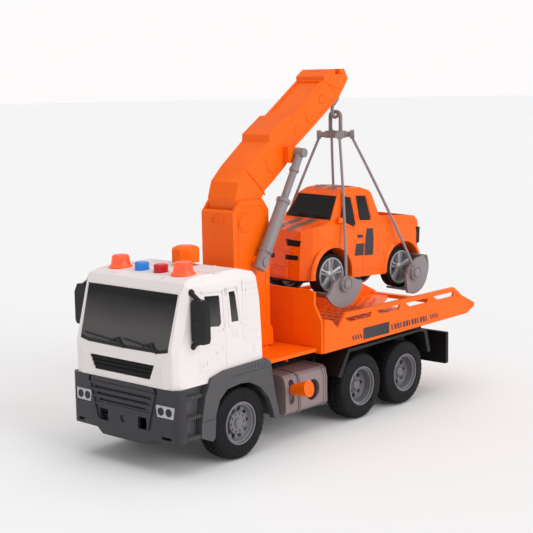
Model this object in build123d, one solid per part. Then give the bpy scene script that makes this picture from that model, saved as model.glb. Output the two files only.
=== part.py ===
from build123d import *
import math
import os

# Toy tow truck with a slewing crane that holds a small pickup above a tilting bed.
# Millimetres, +Z up, the nose faces -Y and the truck's left side is +X.
# Stations along Y are counted from the front axle and moved to the middle of the truck on export.

# ---- driving dimensions ----
LENGTH = 319.0
NOSE_Y = -55.5
TAIL_Y = NOSE_Y + LENGTH
EXPORT_SHIFT = -(NOSE_Y + TAIL_Y) / 2
TYRE_R = 23.0
TYRE_W = 17.0
WHEEL_FACE_X = 47.3
RIM_R = 13.6
FRONT_AXLE_Y = 0.0
MID_AXLE_Y = 123.0
REAR_AXLE_Y = 174.0
AXLE_R = 1.5
AXLE_BORE_R = 1.58
FRAME_HALF = 24.0
FRAME_Z0 = 17.0
FRAME_Z1 = 46.0
FRAME_FRONT_Y = -43.0
FRAME_REAR_Y = 227.0
CAB_HALF = 46.0
CAB_Z0 = 53.5
CAB_WALL = 1.6
ROOF_Z = 118.4
BODY_HALF = 48.0
BED_FRONT_Y = 80.5
BED_HINGE = (203.0, 50.2)
HINGE_PIN_R = 1.5
DECK_TOP_Z = 57.0
TURRET_Y = 48.5
TURRET_HALF_X = 14.1
TURRET_HALF_Y = 17.2
BOOM_HALF = 12.3
BOOM_PIVOT = (42.3, 141.8)
RAM_X = 20.0
RAM_FOOT = (52.0, 116.0)
RAM_EYE = (92.0, 184.8)
HOOK_PIVOT = (150.5, 230.0)
LOAD_Y = 155.0
SPREADER_Z = 194.0
ARM_X = 9.4
ARM_Y = 7.2
ROPE_R = 1.1
PICKUP_ORIGIN = (0.0, 121.2, 99.2)
PICKUP_YAW = -3.53
PICKUP_PITCH = -2.33
PICKUP_ROLL = 0.91
PICKUP_WHEELBASE = 75.3
PICKUP_TYRE_R = 14.8
PICKUP_TYRE_W = 9.0
PICKUP_FACE_X = 24.0
CRADLE_X = 36.0
HUB_R = 5.2
CRADLE_INNER_R = 15.8
CRADLE_OUTER_R = 17.3
CRADLE_RISE = 0.65
FRONT_EDGE = [(-18.3, -12.9), (-15.9, -10.6), (-13.6, -6.9), (-11.8, -4.1), (-8.0, -2.0), (-2.7, -0.6), (3.0, -0.4),
              (8.2, -1.4), (12.5, -3.4), (16.0, -4.2), (40.0, -3.6), (40.0, -40.0), (-40.0, -40.0), (-40.0, -18.0)]
REAR_EDGE = [(20.0, 11.0), (8.1, 8.2), (2.1, 7.0), (-1.0, 5.2), (-4.6, 2.4), (-7.0, -0.2), (-9.3, -5.7), (-8.6, -10.9),
             (-7.6, -15.5), (-6.0, -22.0), (0.0, -40.0), (40.0, -40.0), (40.0, 14.0)]
FRONT_CRADLE = (((-2.0, -1.8), 19.7, FRONT_EDGE, -134.0, -12.0, -1.4, -4.8), 0.2, -0.6)
REAR_CRADLE = (((-0.7, -3.0), 15.8, REAR_EDGE, -108.0, 30.0, -1.2, -3.1), -1.8, 1.5)
ARCH_R = 18.5
BUTTON_X = 8.5
BUTTON_Y = -27.9
BUTTON_R = 4.5
BEACON_X = 28.1
KNOB_Y = 2.0
KNOB_R = 9.4


# ---- shape helpers ----
def box(x0, x1, y0, y1, z0, z1):
    centre = ((x0 + x1) / 2, (y0 + y1) / 2, (z0 + z1) / 2)
    return Pos(*centre) * Box(abs(x1 - x0), abs(y1 - y0), abs(z1 - z0))


def wound(points):
    """The outline in counter-clockwise order."""
    area = 0.0
    for (a0, b0), (a1, b1) in zip(points, points[1:] + points[:1]):
        area += a0 * b1 - a1 * b0
    return points if area > 0 else points[::-1]


def prism_x(points, x0, x1):
    """Outline in (y, z), thick from x0 to x1."""
    x0, x1 = min(x0, x1), max(x0, x1)
    face = Plane.YZ * Polygon(*wound(points), align=None)
    return Pos(x0, 0, 0) * extrude(face, amount=x1 - x0)


def prism_y(points, y0, y1):
    """Outline in (x, z), thick from y0 to y1."""
    face = Plane.XZ * Polygon(*wound(points), align=None)
    return Pos(0, y1, 0) * extrude(face, amount=y1 - y0)


def prism_z(points, z0, z1):
    """Outline in (x, y), thick from z0 to z1."""
    face = Plane.XY * Polygon(*wound(points), align=None)
    return Pos(0, 0, z0) * extrude(face, amount=z1 - z0)


def rod_x(radius, x0, x1, y, z):
    return Pos((x0 + x1) / 2, y, z) * Rot(0, 90, 0) * Cylinder(radius, abs(x1 - x0))


def rod_y(radius, x, y0, y1, z):
    return Pos(x, (y0 + y1) / 2, z) * Rot(90, 0, 0) * Cylinder(radius, abs(y1 - y0))


def rod_z(radius, x, y, z0, z1):
    return Pos(x, y, (z0 + z1) / 2) * Cylinder(radius, abs(z1 - z0))


def rod_between(radius, start, end):
    """Round bar from one point to another."""
    a = Vector(*start)
    b = Vector(*end)
    plane = Plane(origin=a, z_dir=(b - a))
    return plane * Pos(0, 0, (b - a).length / 2) * Cylinder(radius, (b - a).length)


def spin_x(profile):
    """Turned part: outline in (x, radius) about the X axis."""
    face = Plane.XZ * Polygon(*wound(profile), align=None)
    return revolve(face, axis=Axis.X, revolution_arc=360)


def spin_z(profile):
    """Turned part: outline in (radius, z) about the Z axis."""
    face = Plane.XZ * Polygon(*wound(profile), align=None)
    return revolve(face, axis=Axis.Z, revolution_arc=360)


def both_sides(part):
    """The part and its mirror image across the middle plane."""
    return [part, mirror(part, about=Plane.YZ)]


def soften(part, edges, radius):
    """Round the edges, with a smaller radius where the full one doesn't fit."""
    for size in (radius, radius * 0.6, radius * 0.3):
        try:
            return fillet(edges, size)
        except ValueError:
            continue
    return part


def edges_along(part, axis):
    return part.edges().filter_by(axis)


nodes = {}


def add(name, *pieces):
    """File one node: one solid, or a group of separate solids."""
    solids = []
    for piece in pieces:
        solids += list(piece.solids())
    nodes[name] = solids[0] if len(solids) == 1 else Compound(children=solids)


# ---- chassis and running gear ----
def chassis():
    wall = 2.4
    inner = FRAME_HALF - wall
    tub = box(-FRAME_HALF, FRAME_HALF, FRAME_FRONT_Y, FRAME_REAR_Y, FRAME_Z0, FRAME_Z1)
    tub -= box(-inner, inner, FRAME_FRONT_Y + wall, FRAME_REAR_Y - wall, FRAME_Z0 + wall, FRAME_Z1 + 1)
    for y in (-20.0, 28.0, 96.0, 150.0, 196.0):
        tub += box(-inner - 0.5, inner + 0.5, y - 1.2, y + 1.2, FRAME_Z0 + wall - 0.5, FRAME_Z1)
    for y in (FRONT_AXLE_Y, MID_AXLE_Y, REAR_AXLE_Y):
        for side in (-1, 1):
            tub += rod_x(4.2, side * (FRAME_HALF - 1), side * (FRAME_HALF + 3.5), y, TYRE_R)
        tub -= rod_x(AXLE_BORE_R, -40, 40, y, TYRE_R)
    tub -= box(-16, 16, 34, 90, FRAME_Z0 - 1, FRAME_Z0 + wall + 1)
    tub -= box(-3.4, 3.4, MID_AXLE_Y - 7, MID_AXLE_Y + 7, FRAME_Z0 - 1, FRAME_Z0 + wall + 1)
    hinge_y, hinge_z = BED_HINGE
    for side in (-1, 1):
        tub += box(side * 10, side * 13, hinge_y - 7.5, hinge_y + 3.4, FRAME_Z0 + 1, hinge_z)
        tub += rod_x(3.4, side * 10, side * 13, hinge_y, hinge_z)
    tub -= rod_x(HINGE_PIN_R, -20, 20, hinge_y, hinge_z)
    for y in (-38.0, 40.0, 92.0, 212.0):
        for side in (-1, 1):
            tub += box(side * (FRAME_HALF - 1), side * (FRAME_HALF + 6), y - 1.2, y + 1.2, FRAME_Z1 - 6, FRAME_Z1 - 1)
    plate = box(-47.0, 47.0, FRAME_REAR_Y - 0.4, FRAME_REAR_Y + 2.6, 20.0, 44.0)
    tub += soften(plate, edges_along(plate, Axis.Y), 1.0)
    return tub


def tyre():
    """Outer face at x = TYRE_W, inner face at x = 0, on the X axis."""
    w = TYRE_W
    r = TYRE_R
    body = spin_x([(0.6, RIM_R), (0, RIM_R + 1.2), (0, r - 3.2), (1.4, r - 1.0), (3.2, r), (w - 3.2, r),
                   (w - 1.4, r - 1.0), (w - 0.3, r - 3.6), (w, RIM_R + 2.6), (w - 0.8, RIM_R + 0.2),
                   (w - 0.8, RIM_R)])
    for x in (w * 0.36, w * 0.64):
        body -= spin_x([(x - 0.6, r - 1.3), (x + 0.6, r - 1.3), (x + 0.6, r + 1), (x - 0.6, r + 1)])
    return body


def rim(dish, holes, hole_r, hub_r):
    """Rim with its disc at x = dish below the outer face, axle socket from behind."""
    w = TYRE_W
    face = w - dish
    shell = spin_x([(1.0, RIM_R - 1.6), (1.0, RIM_R), (w - 0.2, RIM_R), (w, RIM_R - 0.5), (w - 0.2, RIM_R - 1.1),
                    (w - 1.6, RIM_R - 1.3), (w - 1.8, RIM_R - 2.2), (face + 1.2, RIM_R - 2.8),
                    (face, RIM_R - 3.6), (face - 0.6, hub_r + 0.4), (face + 1.4, hub_r),
                    (face + 1.6, 3.2), (face + 2.6, 3.0), (face + 2.8, 0), (face - 1.6, 0), (face - 1.6, 3.0),
                    (2.0, 3.2), (2.0, 5.4), (face - 2.0, 5.6), (face - 2.0, RIM_R - 2.8),
                    (face - 0.8, RIM_R - 1.6)])
    ring_r = (RIM_R - 3.2 + hub_r) / 2
    for i in range(holes):
        turn = 2 * math.pi * i / holes
        shell -= rod_x(hole_r, face - 4, face + 3, ring_r * math.cos(turn), ring_r * math.sin(turn))
    for i in range(10):
        turn = 2 * math.pi * i / 10
        nut_r = hub_r - 1.3
        shell += rod_x(0.65, face + 1.0, face + 2.3, nut_r * math.cos(turn), nut_r * math.sin(turn))
    bore = rod_x(AXLE_R, -1, face - 0.4, 0, 0)
    core = rod_x(3.4, 2.0, face - 1.0, 0, 0)
    return shell + core - bore


def wheel_set(name, y, dish, holes, hole_r, hub_r):
    inner_x = WHEEL_FACE_X - TYRE_W
    place = Pos(inner_x, y, TYRE_R)
    left_tyre = place * tyre()
    left_rim = place * rim(dish, holes, hole_r, hub_r)
    reach = WHEEL_FACE_X - dish - 0.4
    add(name + "_tyres", *both_sides(left_tyre))
    add(name + "_rims_axle", rod_x(AXLE_R, -reach, reach, y, TYRE_R), *both_sides(left_rim))


def gear(teeth, pitch_r, width, depth):
    """Spur gear on the X axis with slim straight teeth."""
    body = rod_x(pitch_r - depth / 2, 0, width, 0, 0)
    half_root = math.pi * pitch_r / teeth * 0.42
    half_tip = half_root * 0.45
    for i in range(teeth):
        tooth = prism_x([(-half_root, pitch_r - depth / 2 - 0.3), (half_root, pitch_r - depth / 2 - 0.3),
                         (half_tip, pitch_r + depth / 2), (-half_tip, pitch_r + depth / 2)], 0, width)
        body += Rot(360.0 * i / teeth, 0, 0) * tooth
    return body


GEAR_TEETH = 20
PINION_TEETH = 10
GEAR_R = 5.0
PINION_R = GEAR_R * PINION_TEETH / GEAR_TEETH
GEAR_GAP = 0.3
FLYWHEEL_Y = MID_AXLE_Y
FLYWHEEL_Z = TYRE_R + GEAR_R + PINION_R + GEAR_GAP


def friction_drive():
    axle_gear = Pos(-2, MID_AXLE_Y, TYRE_R) * gear(GEAR_TEETH, GEAR_R, 4, 1.1)
    axle_gear -= rod_x(AXLE_R, -5, 5, MID_AXLE_Y, TYRE_R)
    add("axle_gear", axle_gear)
    pinion = Rot(180.0 / PINION_TEETH, 0, 0) * gear(PINION_TEETH, PINION_R, 5, 1.1)
    shaft = Pos(-2.5, FLYWHEEL_Y, FLYWHEEL_Z) * pinion
    shaft += rod_x(0.9, -12.4, 12.4, FLYWHEEL_Y, FLYWHEEL_Z)
    shaft += rod_x(6.0, 4.5, 9.5, FLYWHEEL_Y, FLYWHEEL_Z)
    add("flywheel_shaft", shaft)
    wall = 1.4
    y0, y1 = MID_AXLE_Y - 9.6, MID_AXLE_Y + 9.6
    case = box(-13, 13, y0, y1, FRAME_Z0 + 2.4, FRAME_Z1 - 0.4)
    case -= box(-13 + wall, 13 - wall, y0 + wall - 0.8, y1 - wall + 0.8, FRAME_Z0 + 1, FRAME_Z1 - 0.4 - wall)
    case -= rod_x(1.9, -20, 20, MID_AXLE_Y, TYRE_R)
    case -= rod_x(1.0, -20, 20, FLYWHEEL_Y, FLYWHEEL_Z)
    add("drive_housing", case)


# ---- cab ----
def cab_block(inset, drop=0.0):
    """Rounded cab volume, pulled in by inset on every side but the bottom."""
    s = inset
    side = [(-54.9 + s, CAB_Z0 - drop), (-55.2 + s, 66.0), (-53.0 + s, 79.0), (-44.6 + s, 109.6),
            (-41.6 + s, 115.4 - s), (-36.0, ROOF_Z - 0.8 - s), (-26.0, ROOF_Z - s), (8.0, ROOF_Z - s),
            (18.8 - s, 115.6 - s), (22.6 - s, CAB_Z0 - drop)]
    block = prism_x(side, -CAB_HALF + s, CAB_HALF - s)
    roof = [(-CAB_HALF + s, CAB_Z0 - drop - 1), (-CAB_HALF + s, 104.0), (-CAB_HALF + s + 1.2, 113.0),
            (-CAB_HALF + s + 6.5, ROOF_Z + 0.2 - s), (CAB_HALF - s - 6.5, ROOF_Z + 0.2 - s),
            (CAB_HALF - s - 1.2, 113.0), (CAB_HALF - s, 104.0), (CAB_HALF - s, CAB_Z0 - drop - 1)]
    block &= prism_y(roof, -60, 30)
    corner = 7.0 - s
    plan = Plane.XY * Polygon((-CAB_HALF + s, -55.2 + s + 5), (-CAB_HALF + s + 3.2, -55.2 + s + 1.5),
                              (-30, -55.2 + s - 1), (30, -55.2 + s - 1), (CAB_HALF - s - 3.2, -55.2 + s + 1.5),
                              (CAB_HALF - s, -55.2 + s + 5), (CAB_HALF - s, 24), (-CAB_HALF + s, 24), align=None)
    plan = fillet(plan.vertices(), corner * 0.45)
    block &= Pos(0, 0, 40) * extrude(plan, amount=90)
    block = soften(block, block.edges().filter_by_position(Axis.Z, 100, 130).filter_by_position(
        Axis.X, -CAB_HALF + 0.5 + s, CAB_HALF - 0.5 - s), 2.0)
    corner_x = CAB_HALF - s
    pillar = Plane.XY * Polygon((corner_x + 1.0, -47.5 + s), (corner_x + 1.0, -54.1 + s), (corner_x - 5.0, -54.1 + s),
                                align=None)
    chamfer = Pos(0, -1.1, 75.0) * extrude(pillar, amount=48.0, dir=(0, 8.4, 30.6))
    for wedge in both_sides(chamfer):
        block -= wedge
    return block


def windscreen_cut():
    return prism_y([(-39.4, 75.6), (-32, 74.2), (0, 73.8), (32, 74.2), (39.4, 75.6), (40.3, 109.4), (-40.3, 109.4)],
                   -60, -30)


def side_window_cuts():
    front = prism_x([(-28.5, 88.0), (-16.4, 86.6), (-14.6, 88.2), (-15.9, 105.6), (-28.5, 106.6)], 38, 50)
    rear = prism_x([(-5.5, 87.5), (1.0, 87.5), (-2.2, 106.5), (-7.6, 106.5)], 38, 50)
    return front + rear


def grille_cut():
    return prism_y([(-29.0, 67.0), (-24.7, 57.8), (24.7, 57.8), (29.0, 67.0)], -60, -45)


def cab():
    outer = cab_block(0.0)
    inner = cab_block(CAB_WALL, drop=1.0)
    shell = outer - inner
    cuts = [windscreen_cut(), grille_cut()] + both_sides(side_window_cuts())
    for cut in cuts:
        shell -= cut
    for x in (-BUTTON_X, BUTTON_X):
        shell -= rod_z(BUTTON_R + 0.3, x, BUTTON_Y, 100, 130)
    for x in (-BEACON_X, BEACON_X):
        shell -= rod_z(3.5, x, BUTTON_Y, 100, 130)
    shell -= rod_z(4.3, 0, KNOB_Y, 100, 130)
    for x in (-22.0, 22.0):
        for y in (-38.0, -18.0):
            shell += rod_z(1.6, x, y, 110.0, ROOF_Z - CAB_WALL + 0.3)
    add("cab_shell", shell)
    liner = cab_block(CAB_WALL) - cab_block(CAB_WALL + 1.2, drop=1.0)
    panes = []
    for cut in [windscreen_cut()] + both_sides(side_window_cuts()):
        panes.append((cab_block(0.5) - cab_block(CAB_WALL)) & cut)
    band = liner & box(-60, 60, -60, 12, 74, 109.2)
    band = band - box(-60, 60, -40, -30.5, 60, 120)
    glazing = band
    for pane in panes:
        glazing += pane
    add("cab_glazing", glazing)
    grille = (cab_block(0.9) - cab_block(CAB_WALL + 1.6)) & grille_cut()
    for i in range(3):
        z = 60.2 + 2.5 * i
        grille += (cab_block(0.2) - cab_block(1.2)) & grille_cut() & box(-40, 40, -60, -45, z, z + 0.9)
    add("cab_grille", grille)


def cab_fittings():
    mirrors = []
    housing = prism_y([(47.2, 82.5), (49.4, 80.0), (57.4, 80.6), (58.5, 83.0), (58.5, 101.0), (55.6, 106.6),
                       (48.6, 106.8), (47.2, 104.6)], -41.4, -36.6)
    housing = soften(housing, edges_along(housing, Axis.Y), 1.0)
    housing += rod_between(1.5, (44.9, -38.9, 110.2), (51.5, -38.9, 106.0))
    housing += Pos(45.2, -38.9, 110.2) * Sphere(2.2)
    housing += rod_between(1.5, (45.0, -38.9, 78.0), (51.0, -38.9, 81.0))
    housing += Pos(45.6, -38.9, 78.0) * Sphere(2.2)
    housing -= cab_block(-0.02)
    mirrors += both_sides(housing)
    add("door_mirrors", *mirrors)
    beacons = []
    for x in (-BEACON_X, BEACON_X):
        dome = spin_z([(0, ROOF_Z), (7.8, ROOF_Z), (7.6, ROOF_Z + 0.7), (6.5, ROOF_Z + 1.5), (6.0, ROOF_Z + 3.2),
                       (5.6, ROOF_Z + 6.4), (4.7, ROOF_Z + 7.6), (0, ROOF_Z + 8.0)])
        dome -= rod_z(2.6, 0, 0, ROOF_Z - 1, ROOF_Z + 5.6)
        beacons.append(Pos(x, BUTTON_Y, 0) * dome)
    add("roof_beacons", *beacons)
    for name, x in (("button_blue", -BUTTON_X), ("button_red", BUTTON_X)):
        cap = spin_z([(0, 113.4), (5.6, 113.4), (5.6, 114.6), (BUTTON_R, 114.6), (BUTTON_R, ROOF_Z + 3.9),
                      (BUTTON_R - 0.7, ROOF_Z + 4.6), (0, ROOF_Z + 4.8)])
        add(name, Pos(x, BUTTON_Y, 0) * cap)
    flats = Plane.XY * RegularPolygon(KNOB_R, 8, rotation=22.5)
    knob = Pos(0, 0, ROOF_Z + 1.9) * extrude(flats, amount=10.6)
    knob &= spin_z([(0, ROOF_Z), (KNOB_R + 0.6, ROOF_Z), (KNOB_R + 0.2, ROOF_Z + 8.5), (KNOB_R - 1.2, ROOF_Z + 11.0),
                    (KNOB_R - 4.0, ROOF_Z + 12.2), (0, ROOF_Z + 12.6)])
    knob += rod_z(4.0, 0, 0, 114.6, ROOF_Z + 3)
    knob += rod_z(5.6, 0, 0, 113.4, 114.6)
    add("roof_knob", Pos(0, KNOB_Y, 0) * knob)


def electronics():
    board = box(-25, 25, -40.2, 14.0, 108.4, 110.0)
    for x, y in ((-BUTTON_X, BUTTON_Y), (BUTTON_X, BUTTON_Y), (0, KNOB_Y)):
        board += box(x - 3, x + 3, y - 3, y + 3, 110.0, 111.4)
    for x in (-BEACON_X, BEACON_X):
        lamp = rod_z(2.4, x, BUTTON_Y, 111.0, ROOF_Z + 2.6)
        lamp += Pos(x, BUTTON_Y, ROOF_Z + 2.6) * Sphere(2.0)
        board += lamp
        board += box(min(x, 0.8 * x) - 2, max(x, 0.8 * x) + 2, BUTTON_Y - 2, BUTTON_Y + 2, 108.4, 111.0)
    add("circuit_board", board)
    speaker = spin_z([(0, 47), (13, 47), (13, 49), (9, 49), (6.5, 52.6), (0, 52.6)])
    add("speaker", Pos(0, 2, -0.8) * speaker)


def batteries():
    tray = box(-15.8, 15.8, 34.2, 89.8, FRAME_Z0 + 2.4, 32.0)
    tray -= box(-14.2, 14.2, 36, 88, FRAME_Z0, 30.4)
    add("battery_box", tray)
    cells = []
    for i in range(3):
        y = 45.0 + 16.5 * i
        cells.append(rod_z(5.8, 0, y, 24.0, 29.4))
    add("button_cells", *cells)
    door = box(-15.7, 15.7, 34.3, 89.7, FRAME_Z0 + 0.1, FRAME_Z0 + 1.7)
    for i in range(6):
        door -= box(-9, 9, 40 + 2.4 * i, 41.2 + 2.4 * i, FRAME_Z0, FRAME_Z0 + 0.6)
    for i in range(3):
        y = 45.0 + 16.5 * i
        door += rod_z(4.0, 0, y, FRAME_Z0 + 1.7, 24.0)
    add("battery_door", door)


def screws():
    heads = []
    for y in (-12.0, 100.0, 145.0, 210.0):
        for x in (-16.0, 16.0):
            screw = rod_z(2.4, x, y, FRAME_Z0 - 1.2, FRAME_Z0)
            screw -= box(x - 1.6, x + 1.6, y - 0.3, y + 0.3, FRAME_Z0 - 2, FRAME_Z0 - 0.6)
            screw -= box(x - 0.3, x + 0.3, y - 1.6, y + 1.6, FRAME_Z0 - 2, FRAME_Z0 - 0.6)
            heads.append(screw)
    add("chassis_screws", *heads)


# ---- bumper, steps and fenders ----
def bumper_plan(s):
    half = BODY_HALF - 0.2 - s
    return [(-half, -43.0), (-half, -51.4), (-half + 1.2, -53.6 + 0.6 * s), (-half + 3.6, -55.0 + s),
            (-30.0, NOSE_Y + 0.1 + s), (0, NOSE_Y + s), (30.0, NOSE_Y + 0.1 + s), (half - 3.6, -55.0 + s),
            (half - 1.2, -53.6 + 0.6 * s), (half, -51.4), (half, -43.0)]


def front_bumper():
    side_top = 50.0
    shell = prism_z(bumper_plan(0), 21.0, side_top)
    shell += prism_z(bumper_plan(0), side_top, 53.3) & box(-60, 60, -60, -46.0, 40, 60)
    shell -= prism_z(bumper_plan(2.2), 23.0, 51.3) & box(-60, 60, -60, -40, 0, 60)
    shell -= box(-45.6, 45.6, -48.0, -40, 23.0, 51.3)
    chin = prism_y([(-24, 21.0), (-19, 17.2), (19, 17.2), (24, 21.0)], NOSE_Y, -46.0)
    shell += chin
    for i in range(3):
        z = 38.6 + 3.8 * i
        half = 25.0 - 2.0 * (2 - i)
        shell -= box(-half, half, -60, -54.2, z, z + 1.3)
    for side in (-1, 1):
        shell -= box(side * 13.6, side * 21.0, -60, -52.6, 26.2, 33.6)
        shell -= prism_y([(side * 27.6, 53.4), (side * 29.6, 49.6), (side * 31.2, 49.6), (side * 30.4, 53.4)], -60, -53.6)
        shell -= box(side * 34, side * 42, -60, -51.0, 22.8, 24.6)
        shell -= prism_y([(side * 29.6, 35.8), (side * 44.0, 35.8), (side * 45.0, 43.6), (side * 28.6, 43.6)],
                         -60, -50.9)
    shell += box(-9.6, 9.6, -55.9, -54.0, 26.2, 33.8) & prism_z(bumper_plan(-0.35), 20, 40)
    shell -= rod_y(2.4, 0, -60, -54.6, 30.0)
    for side in (-1, 1):
        shell += box(side * 17, side * 23, -51.5, FRAME_FRONT_Y, 24.0, 29.0)
    shell &= box(-60, 60, NOSE_Y, -30, 0, 60)
    for side in (-1, 1):
        shell -= box(side * 38, side * 60, -47.5, -30, 0, 60)
    add("front_bumper", shell)
    lamps = []
    lenses = []
    for side in (-1, 1):
        recess = prism_y([(side * 29.8, 36.0), (side * 43.8, 36.0), (side * 44.8, 43.4), (side * 28.8, 43.4)],
                         -60, -50.9)
        lamp = recess & prism_z(bumper_plan(0.5), 30, 50)
        lamp -= prism_z(bumper_plan(2.0), 30, 50)
        for x in (33.2, 39.8):
            lamp -= rod_y(2.5, side * x, -60, -50, 39.7)
            lens = rod_y(2.45, side * x, -60, -51.4, 39.7) & prism_z(bumper_plan(0.3), 30, 50)
            lens -= prism_z(bumper_plan(2.0), 30, 50)
            lenses.append(lens)
        lamps.append(lamp)
    add("headlight_panels", *lamps)
    add("headlight_lenses", *lenses)


def fender_steps():
    outline = [(-35.0, 31.0), (-35.6, 21.4), (-26.1, 17.4), (-23.9, 19.1), (-22.7, 33.3), (-19.2, 41.9),
               (-12.4, 47.3), (-0.5, 48.6), (7.8, 47.8), (17.7, 43.0), (25.3, 34.5), (29.1, 25.1), (30.2, 20.0),
               (35.4, 19.8), (32.0, 34.0), (28.6, 50.7), (27.9, 57.3), (23.3, 60.5), (-14.6, 59.2), (-26.2, 56.5),
               (-31.6, 46.0)]
    skin = prism_x(outline, 44.2, BODY_HALF)
    deep = prism_x([(-35.0, 31.0), (-35.6, 21.4), (-30.0, 18.9), (-26.4, 30.0), (-25.0, 38.0), (-20.0, 47.0),
                    (-10.0, 51.2), (8.0, 51.4), (20.0, 47.0), (29.0, 36.0), (33.4, 20.6), (35.4, 19.8), (32.0, 34.0),
                    (28.6, 50.7), (27.6, 53.2), (-28.0, 53.2), (-31.6, 46.0)], 28.0, 44.4)
    side = skin + deep
    side -= cab_block(-0.05, drop=0.2) & box(20, 60, -60, 30, 53.2, 130)
    steps = box(40.6, 42.6, -47.4, -33.0, 20.6, 53.0)
    for i, z in enumerate((22.0, 34.2, 46.6)):
        tread = box(40.6, 47.2, -47.4, -34.2, z, z + 1.8)
        for k in range(7):
            tread -= box(46.6, 48.0, -46.8 + 1.8 * k, -45.9 + 1.8 * k, z - 1, z + 3)
        steps += tread
    side += steps
    for z in (30.8,):
        side -= prism_x([(-36, z), (-24, z), (-24, z + 0.5), (-36, z + 0.5)], BODY_HALF - 0.4, BODY_HALF + 1)
    side -= box(BODY_HALF - 0.35, 50, -8.0, 29.0, 54.2, 54.7)
    for i in range(6):
        side -= box(BODY_HALF - 0.3, 50, 6.0 + 3.3 * i, 6.5 + 3.3 * i, 55.6, 58.2)
    side += box(FRAME_HALF, 30.0, -30.0, -22.0, 33.0, 40.0)
    side += box(FRAME_HALF, 30.0, 28.6, 32.4, 33.0, 40.0)
    side += box(28.0, 30.0, -31.0, -22.0, 30.0, 53.0)
    side += box(28.0, 42.0, -31.0, -29.0, 46.0, 53.0)
    side += box(28.0, 42.0, -33.5, -29.0, 20.6, 53.0)
    add("fender_steps", *both_sides(side))


def side_boxes():
    left = prism_y([(FRAME_HALF, 18.0), (41.6, 17.0), (44.0, 19.4), (44.0, 36.0), (42.6, 41.4), (40.4, 43.0),
                    (FRAME_HALF, 44.0)], 46.0, 88.0)
    for y in (60.4, 84.4):
        rib = prism_y([(FRAME_HALF, 17.2), (42.0, 16.4), (44.6, 19.0), (44.6, 36.2), (43.2, 41.9), (40.8, 43.6),
                       (FRAME_HALF, 44.4)], y, y + 1.6)
        left += rib
    cavity = box(FRAME_HALF + 2, 42.2, 48.0, 82.8, 19.4, 40.4)
    left -= cavity
    slot = box(40, 46, 49.6, 54.6, 26.4, 37.8)
    slot += rod_x(2.5, 40, 46, 52.1, 37.8)
    slot += rod_x(2.5, 40, 46, 52.1, 26.4)
    left -= slot
    left -= rod_x(7.0, 40, 46, 73.6, 29.6)
    left -= box(28, 40, 66.6, 80.6, 15, 20)
    add("side_box_left", left)
    right = prism_y([(FRAME_HALF, 18.0), (41.6, 17.0), (44.0, 19.4), (44.0, 36.0), (42.6, 41.4), (40.4, 43.0),
                     (FRAME_HALF, 44.0)], 46.0, 88.0)
    for y in (60.4, 84.4):
        right += prism_y([(FRAME_HALF, 17.2), (42.0, 16.4), (44.6, 19.0), (44.6, 36.2), (43.2, 41.9),
                          (40.8, 43.6), (FRAME_HALF, 44.4)], y, y + 1.6)
    right -= cavity
    add("side_box_right", mirror(right, about=Plane.YZ))
    stalk = rod_between(2.1, (30.4, 52.1, 31.2), (46.0, 52.1, 33.9))
    grip_plane = Plane(origin=(45.4, 52.1, 33.8), z_dir=(1, 0.1, 0.2))
    grip = grip_plane * Pos(0, 0, 6.3) * Cone(3.6, 5.5, 12.6)
    eye = rod_y(3.0, 29.6, 50.0, 54.2, 31.0)
    lever = stalk + grip + eye
    lever -= rod_y(1.05, 29.6, 49, 55, 31.0)
    add("tilt_lever", lever)
    lever_pin = rod_y(1.0, 29.6, 48.0, 58.0, 31.0) + box(26.0, 33.0, 56.0, 58.0, 28.0, 34.0)
    hinge_y, hinge_z = BED_HINGE
    add("hinge_pins", lever_pin, rod_x(HINGE_PIN_R, -16.6, 16.6, hinge_y, hinge_z))


def rear_fenders():
    outer = [(95.3, 34.5), (99.4, 33.2), (108.8, 49.5), (191.9, 50.6), (196.6, 49.2), (200.7, 33.6), (204.7, 33.5),
             (199.8, 50.7), (194.6, 52.3), (106.8, 51.6)]
    left = prism_x(outer, 29.0, BODY_HALF)
    left += box(FRAME_HALF, 29.2, 112.0, 118.0, 46.0, 51.4)
    left += box(FRAME_HALF, 29.2, 146.0, 152.0, 44.0, 51.4)
    left += box(FRAME_HALF, 29.2, 180.0, 186.0, 46.0, 51.4)
    add("rear_fenders", *both_sides(left))


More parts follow.
